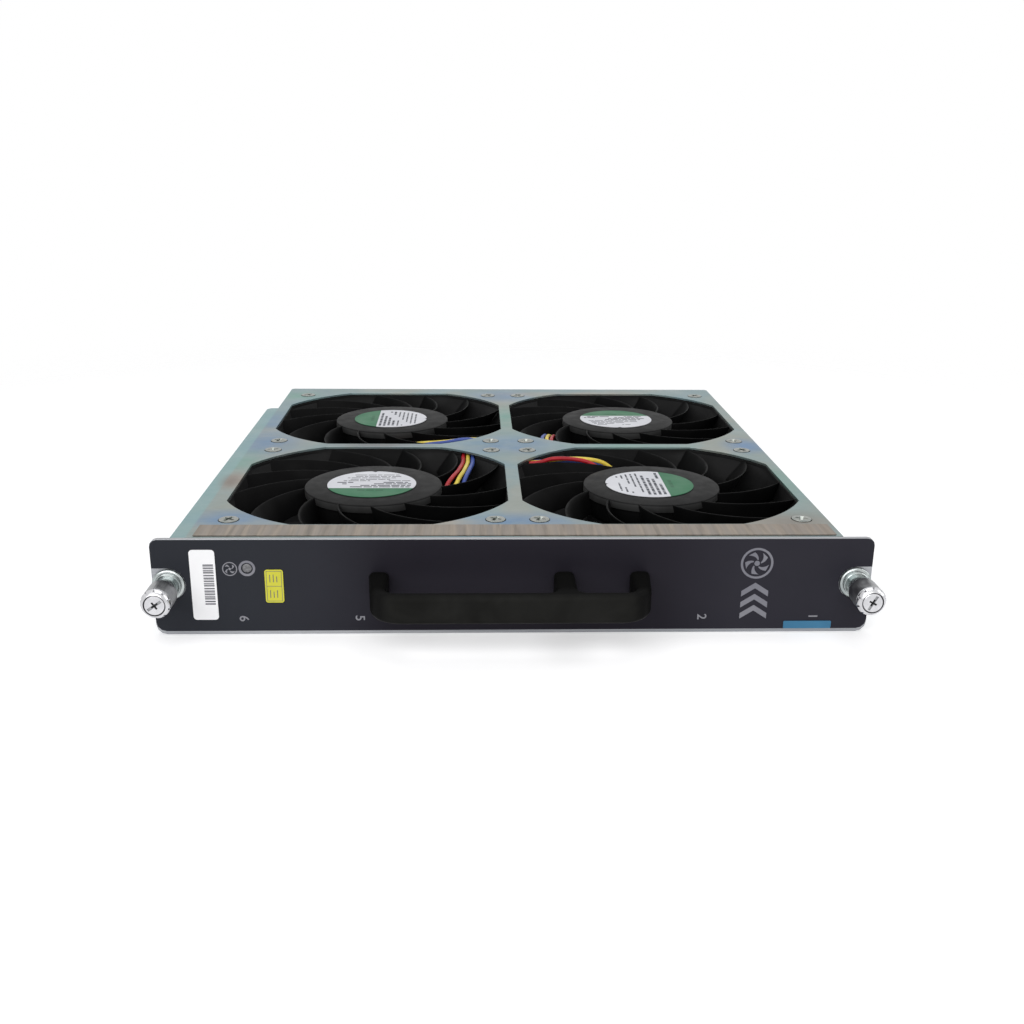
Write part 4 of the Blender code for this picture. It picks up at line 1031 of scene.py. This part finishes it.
# A lead's points between the hub and the rim: shares of the way across and out, and how far under
lead_shares = (
    ((0.2, 0.14, 0.0006), (0.44, 0.27, 0.0), (0.68, 0.41, 0.0), (0.97, 0.68, 0.0), (0.99, 0.81, 0.0)),
    ((0.39, 0.11, 0.002), (0.62, 0.25, 0.0), (0.82, 0.44, 0.0), (0.98, 0.68, 0.0), (0.99, 0.8, 0.0)),
    ((0.53, 0.11, 0.0032), (0.71, 0.26, 0.0), (0.87, 0.47, 0.0), (0.98, 0.66, 0.0), (0.99, 0.78, 0.0)),
)

# How far each lead rises over those points
lead_arches = {
    "fan_1": ((0.0, 0.0, 0.0, 0.0, 0.0), (-0.0005, -0.0003, 0.0, 0.0, 0.0),
              (-0.0014, -0.001, 0.0, 0.0, 0.0)),
    "fan_2": ((-0.0036, -0.0012, 0.0022, 0.0027, 0.0008), (-0.0018, 0.0012, 0.0025, 0.0015, 0.0004),
              (-0.0014, -0.001, 0.0002, 0.0004, 0.0)),
    "fan_3": ((-0.0026, -0.004, -0.0046, -0.004, -0.0012), (-0.0016, -0.002, -0.0008, 0.001, 0.001),
              (-0.0022, -0.0024, -0.0004, 0.0016, 0.0012)),
    "fan_4": ((-0.005, -0.004, -0.0012, 0.0006, 0.0), (-0.0046, -0.0036, -0.0006, 0.001, 0.0),
              (-0.004, -0.003, -0.0004, 0.001, 0.0)),
}
lead_radius = 0.00098
lead_pitch = 0.0023
lead_drop = 0.00175
bend = 0.0032
soft = bend * 0.3
crimp_y = 0.1297
crimp_length = 0.006
crimp_grip = 0.003
first_level = 0.0068
level_step = 0.002
plug_order = ("fan_2", "fan_1", "fan_4", "fan_3")


def lead_route(name, x, y, turn, order, level):
    """From the hub over the frame's rim, down between the fans and back to the plug."""
    across = slot_x + (order - 1) * lead_pitch
    middle = fan_pitch / 2
    rim = middle - bend
    sink = min(lead_arches[name][order][0], 0.0) * (0.6 - 0.25 * order)
    first = Vector((hub + 0.00115, 0.0038, -0.0036 - 0.0024 * order + sink))
    local = [first]
    for (over, away, under), rise in zip(lead_shares[order], lead_arches[name][order]):
        local.append((first.x + (across - first.x) * over, first.y + (rim - first.y) * away,
                      rise - lead_drop - under))
    local += [(across, rim, -lead_drop), (across, middle - soft, -lead_drop - soft),
              (across, middle, -lead_drop - bend), (across, middle, level + bend - fan_top)]
    spin = Matrix.Rotation(radians(turn), 3, "Z")
    run = [spin @ Vector(point) + Vector((x, y, fan_top)) for point in local]
    last = run[-1]
    if abs(last.x - lane[0]) > bend:
        way = copysign(1, lane[0] - last.x)
        run += [(last.x + way * soft, lane[1], level + soft), (last.x + way * bend, lane[1], level),
                (lane[0] - way * bend, lane[1], level), (lane[0] - way * soft, lane[1] + soft, level),
                (lane[0], lane[1] + bend, level)]
    else:
        run += [(lane[0], last.y + soft, level + soft), (lane[0], last.y + bend, level)]
    run.append((lane[0], crimp_y + crimp_grip, level))
    return run


def make_leads(name, x, y, turn):
    levels = []
    for order, (colour, look) in enumerate(lead_looks):
        rank = 2 - order if turn == -90 else order
        level = first_level + level_step * (3 * plug_order.index(name) + rank)
        levels.append(level)
        builder = bmesh.new()
        tube(builder, smooth_path(lead_route(name, x, y, turn, order, level)), lead_radius, 14)
        piece(name + "_lead_" + colour, builder, [look], "lead_jackets", (name + "_leads",), 60)
    half, spare = 0.0015, 0.00085
    outline = rounded((lane[0] - half, min(levels) - spare), (lane[0] + half, max(levels) + spare), 0.0004, 3)
    builder = bmesh.new()
    prism(builder, outline, crimp_y, crimp_y + crimp_length, "Y")
    piece(name + "_crimp", builder, [plug_black], "plug_plastic")


for name, x, y, turn, label_turn in fans:
    make_leads(name, x, y, turn)


# What is on the faceplate

def digit(text, x):
    """A plain number on the overlay, turned on its side, as a thin mesh."""
    curve = bpy.data.curves.new("digit", "FONT")
    curve.body = text
    curve.size = 0.005
    curve.align_x = "CENTER"
    curve.align_y = "CENTER"
    curve.extrude = 0.00001
    curve.offset = 0.00004
    mesh = shown_mesh(link_object("digit", curve))
    lift, z = 0.00002, 0.0066
    mesh.transform(Matrix.Rotation(radians(90), 4, "X") @ Matrix.Rotation(radians(-90), 4, "Z"))
    mesh.transform(Matrix.Translation((x, overlay_face - lift, z)))
    mesh.materials.append(print_grey)
    put("slot_number_" + text, mesh, "overlay_film")


for text, x in (("6", -0.1032), ("5", -0.0593), ("2", 0.0718), ("1", 0.1151)):
    digit(text, x)


def make_lamp():
    """The status lamp's lens, and the grey ring printed around it."""
    place, turn = (-0.1008, overlay_face, 0.027), (radians(90), 0, 0)
    inner, outer, print_height = 0.0022, 0.0031, 0.00003
    corners = box((inner, 0.0), (outer, print_height))
    turned("lamp_ring", corners + corners[:1], 64, [print_light], "overlay_film", (), 40, place, turn)
    flange, guide, foot, flange_height = 0.0024, 0.00185, -0.0058, 0.0022
    profile = [(0, foot), (flange, foot), (flange, foot + flange_height), (guide, foot + flange_height),
               (guide, -0.0003), (0.0016, -0.00005), (0.0009, 0.00005), (0, 0.00008)]
    turned("lamp_lens", profile, 48, [lens], "led_lens", ("status_led",), 40, place, turn)


def make_sticker(name, node, slot, look, centre, half, corner, lines):
    """A sticker with round corners and flat printed lines. A line is its lower and upper corner."""
    x, z = centre
    face, ink = sticker_back - sticker_thickness, 0.00001
    builder = bmesh.new()
    prism(builder, rounded((x - half[0], z - half[1]), (x + half[0], z + half[1]), corner), face,
          sticker_back, "Y")
    for low, high in lines:
        prism(builder, box((x + low[0], z + low[1]), (x + high[0], z + high[1])), face - ink, face + ink,
              "Y", mark=1)
    piece(name, builder, (look, print_dark), slot, (node,))


def white_bars():
    """Bars of changing thickness, right of the sticker's middle."""
    bars = []
    level, top, left, right = -0.0079, 0.0081, 0.0001, 0.004
    step = 0
    while level < top:
        step += 1
        pick = (step * 37 + step * step * 11) % 7
        thick = 0.00022 + 0.00017 * (pick % 4)
        bars.append(((left, level), (right, level + thick)))
        level += thick + 0.00018 + 0.00009 * (pick // 2)
    return bars


def yellow_lines():
    """A thin border, a dividing line and three short lines in each half."""
    u, v, line, thick, start = 0.0029, 0.0061, 0.00018, 0.0003, 0.0016
    lines = [((-u, -v), (u, -v + line)), ((-u, v - line), (u, v)), ((-u, -v), (-u + line, v)),
             ((u - line, -v), (u, v)), ((-u, -line / 2), (u, line / 2))]
    for left, top, bottom in ((-0.0017, 0.0047, -start), (-0.0004, 0.0047, -0.0022),
                              (0.0009, 0.004, -start)):
        lines += [((left, start), (left + thick, top)), ((left, -0.0047), (left + thick, bottom))]
    return lines


def printed(name, outlines):
    """Flat shapes printed on the overlay, each an outline in X and Z."""
    builder = bmesh.new()
    front, back = overlay_face - 0.00003, overlay_face - 0.00001
    for outline in outlines:
        prism(builder, outline, front, back, "Y")
    piece(name, builder, [print_light], "overlay_film")


def fan_sign(centre, size, blades):
    """A plain fan sign: a ring, a hub and curved blades."""
    outer, steps = size * 0.5, 48
    inner = outer * 0.86
    made = []
    for i in range(steps):
        a, b = (2 * pi * k / steps for k in (i, i + 1))
        made.append([circle_point(r, t, centre) for r, t in ((inner, a), (outer, a), (outer, b), (inner, b))])
    made.append(circle(outer * 0.17, 16, centre))
    for blade in range(blades):
        start = 2 * pi * blade / blades
        lead, trail = [], []
        for k in range(7):
            share = k / 6
            reach = outer * (0.24 + 0.5 * share)
            lead.append((reach, start + 0.55 * share))
            trail.append((reach, start + 0.3 + 0.95 * share - 0.12 * share * share))
        made.append([circle_point(r, t, centre) for r, t in lead + trail[::-1]])
    return made


def chevron(x, z, half, rise, width):
    """One chevron that points up, as a single outline."""
    return [(x - half, z), (x, z + rise), (x + half, z), (x + half, z - width), (x, z + rise - width),
            (x - half, z - width)]


make_lamp()
make_sticker("white_label", "white_sticker", "label_paper", sticker_white, (-0.1172, 0.0204),
             (0.00475, 0.0141), 0.00135, white_bars())
make_sticker("yellow_label", "yellow_sticker", "yellow_film", yellow, (-0.0909, 0.0199),
             (0.00345, 0.00665), 0.00095, yellow_lines())

# Plain signs for a fan and its air flow
printed("fan_mark", fan_sign((0.0918, 0.0285), 0.0125, 5))
printed("air_mark", [chevron(0.0918, 0.008 + 0.0046 * i, 0.0052, 0.0034, 0.0023) for i in range(3)])
printed("lamp_mark", fan_sign((-0.1072, 0.0268), 0.0056, 4))


# Stage, light and camera

def make_stage():
    """A pale floor that keeps the object's shadow and fades into the white around it."""
    grey, lift, fade_start, fade_end = (0.86, 0.86, 0.87), 0.34, 0.26, 0.62
    look = bpy.data.materials.new("floor")
    look.use_nodes = True
    nodes = Nodes(look.node_tree)
    nodes.tree.nodes.remove(nodes.tree.nodes["Principled BSDF"])
    strength = nodes.times(nodes.seen("Is Camera Ray", "Is Glossy Ray"), lift)
    glow = nodes.add("Emission", {"Color": (1, 1, 1), "Strength": strength})
    both = nodes.add("AddShader", {0: nodes.add("BsdfDiffuse", {"Color": grey}), 1: glow})
    away = nodes.add("VectorMath", {0: nodes.add("TexCoord", {}, "Object")}, "Value", operation="LENGTH")
    fade = nodes.spread(away, fade_start, fade_end, blend="SMOOTHSTEP")
    mixed = nodes.add("MixShader", {0: fade, 1: both, 2: nodes.add("BsdfTransparent", {})})
    nodes.feed(nodes.tree.nodes["Material Output"].inputs["Surface"], mixed)
    builder = bmesh.new()
    bmesh.ops.create_circle(builder, cap_ends=True, segments=96, radius=0.7)
    link_object("floor", mesh_of("floor", builder, look), (0, 0, -0.0002))


def make_world():
    """White to the camera, to mirrors and to glass, and a dim light to all else."""
    world = bpy.data.worlds.new("studio")
    bpy.context.scene.world = world
    world.use_nodes = True
    nodes = Nodes(world.node_tree)
    shown = nodes.seen("Is Camera Ray", "Is Glossy Ray", "Is Transmission Ray")
    back = nodes.tree.nodes["Background"].inputs
    nodes.feed(back["Color"], (1, 1, 1))
    nodes.feed(back["Strength"], nodes.spread(shown, 0.0, 1.0, 0.3, 1.0))


def lamp(name, place, aim, size, power):
    data = bpy.data.lights.new(name, "AREA")
    data.shape = "RECTANGLE"
    data.size, data.size_y = size
    data.energy = power
    link_object(name, data, place, (Vector(aim) - Vector(place)).to_track_quat("-Z", "Y").to_euler())


def make_camera():
    """Turned by its heading, then down, then a little about its own view."""
    data = bpy.data.cameras.new("camera")
    data.lens = 39.504
    data.sensor_width = 36
    place = Matrix.Translation((-0.01657, -0.52246, 0.18014))
    for angle, axis in ((-2.155, "Z"), (90 - 18.291, "X"), (0.623, "Z")):
        place = place @ Matrix.Rotation(radians(angle), 4, axis)
    made = link_object("camera", data)
    made.matrix_world = place
    bpy.context.scene.camera = made


make_stage()
make_world()
lamp("top_box", (0.0, 0.15, 1.3), (0, 0.02, 0.02), (1.3, 1.0), 5.5)
lamp("front_box", (-0.35, -1.1, 0.75), (0, -0.05, 0.02), (1.6, 1.1), 14.2)
lamp("side_box", (1.2, -0.1, 0.6), (0, 0.0, 0.02), (0.6, 0.8), 2.5)
make_camera()
bpy.context.scene.view_settings.view_transform = "Standard"
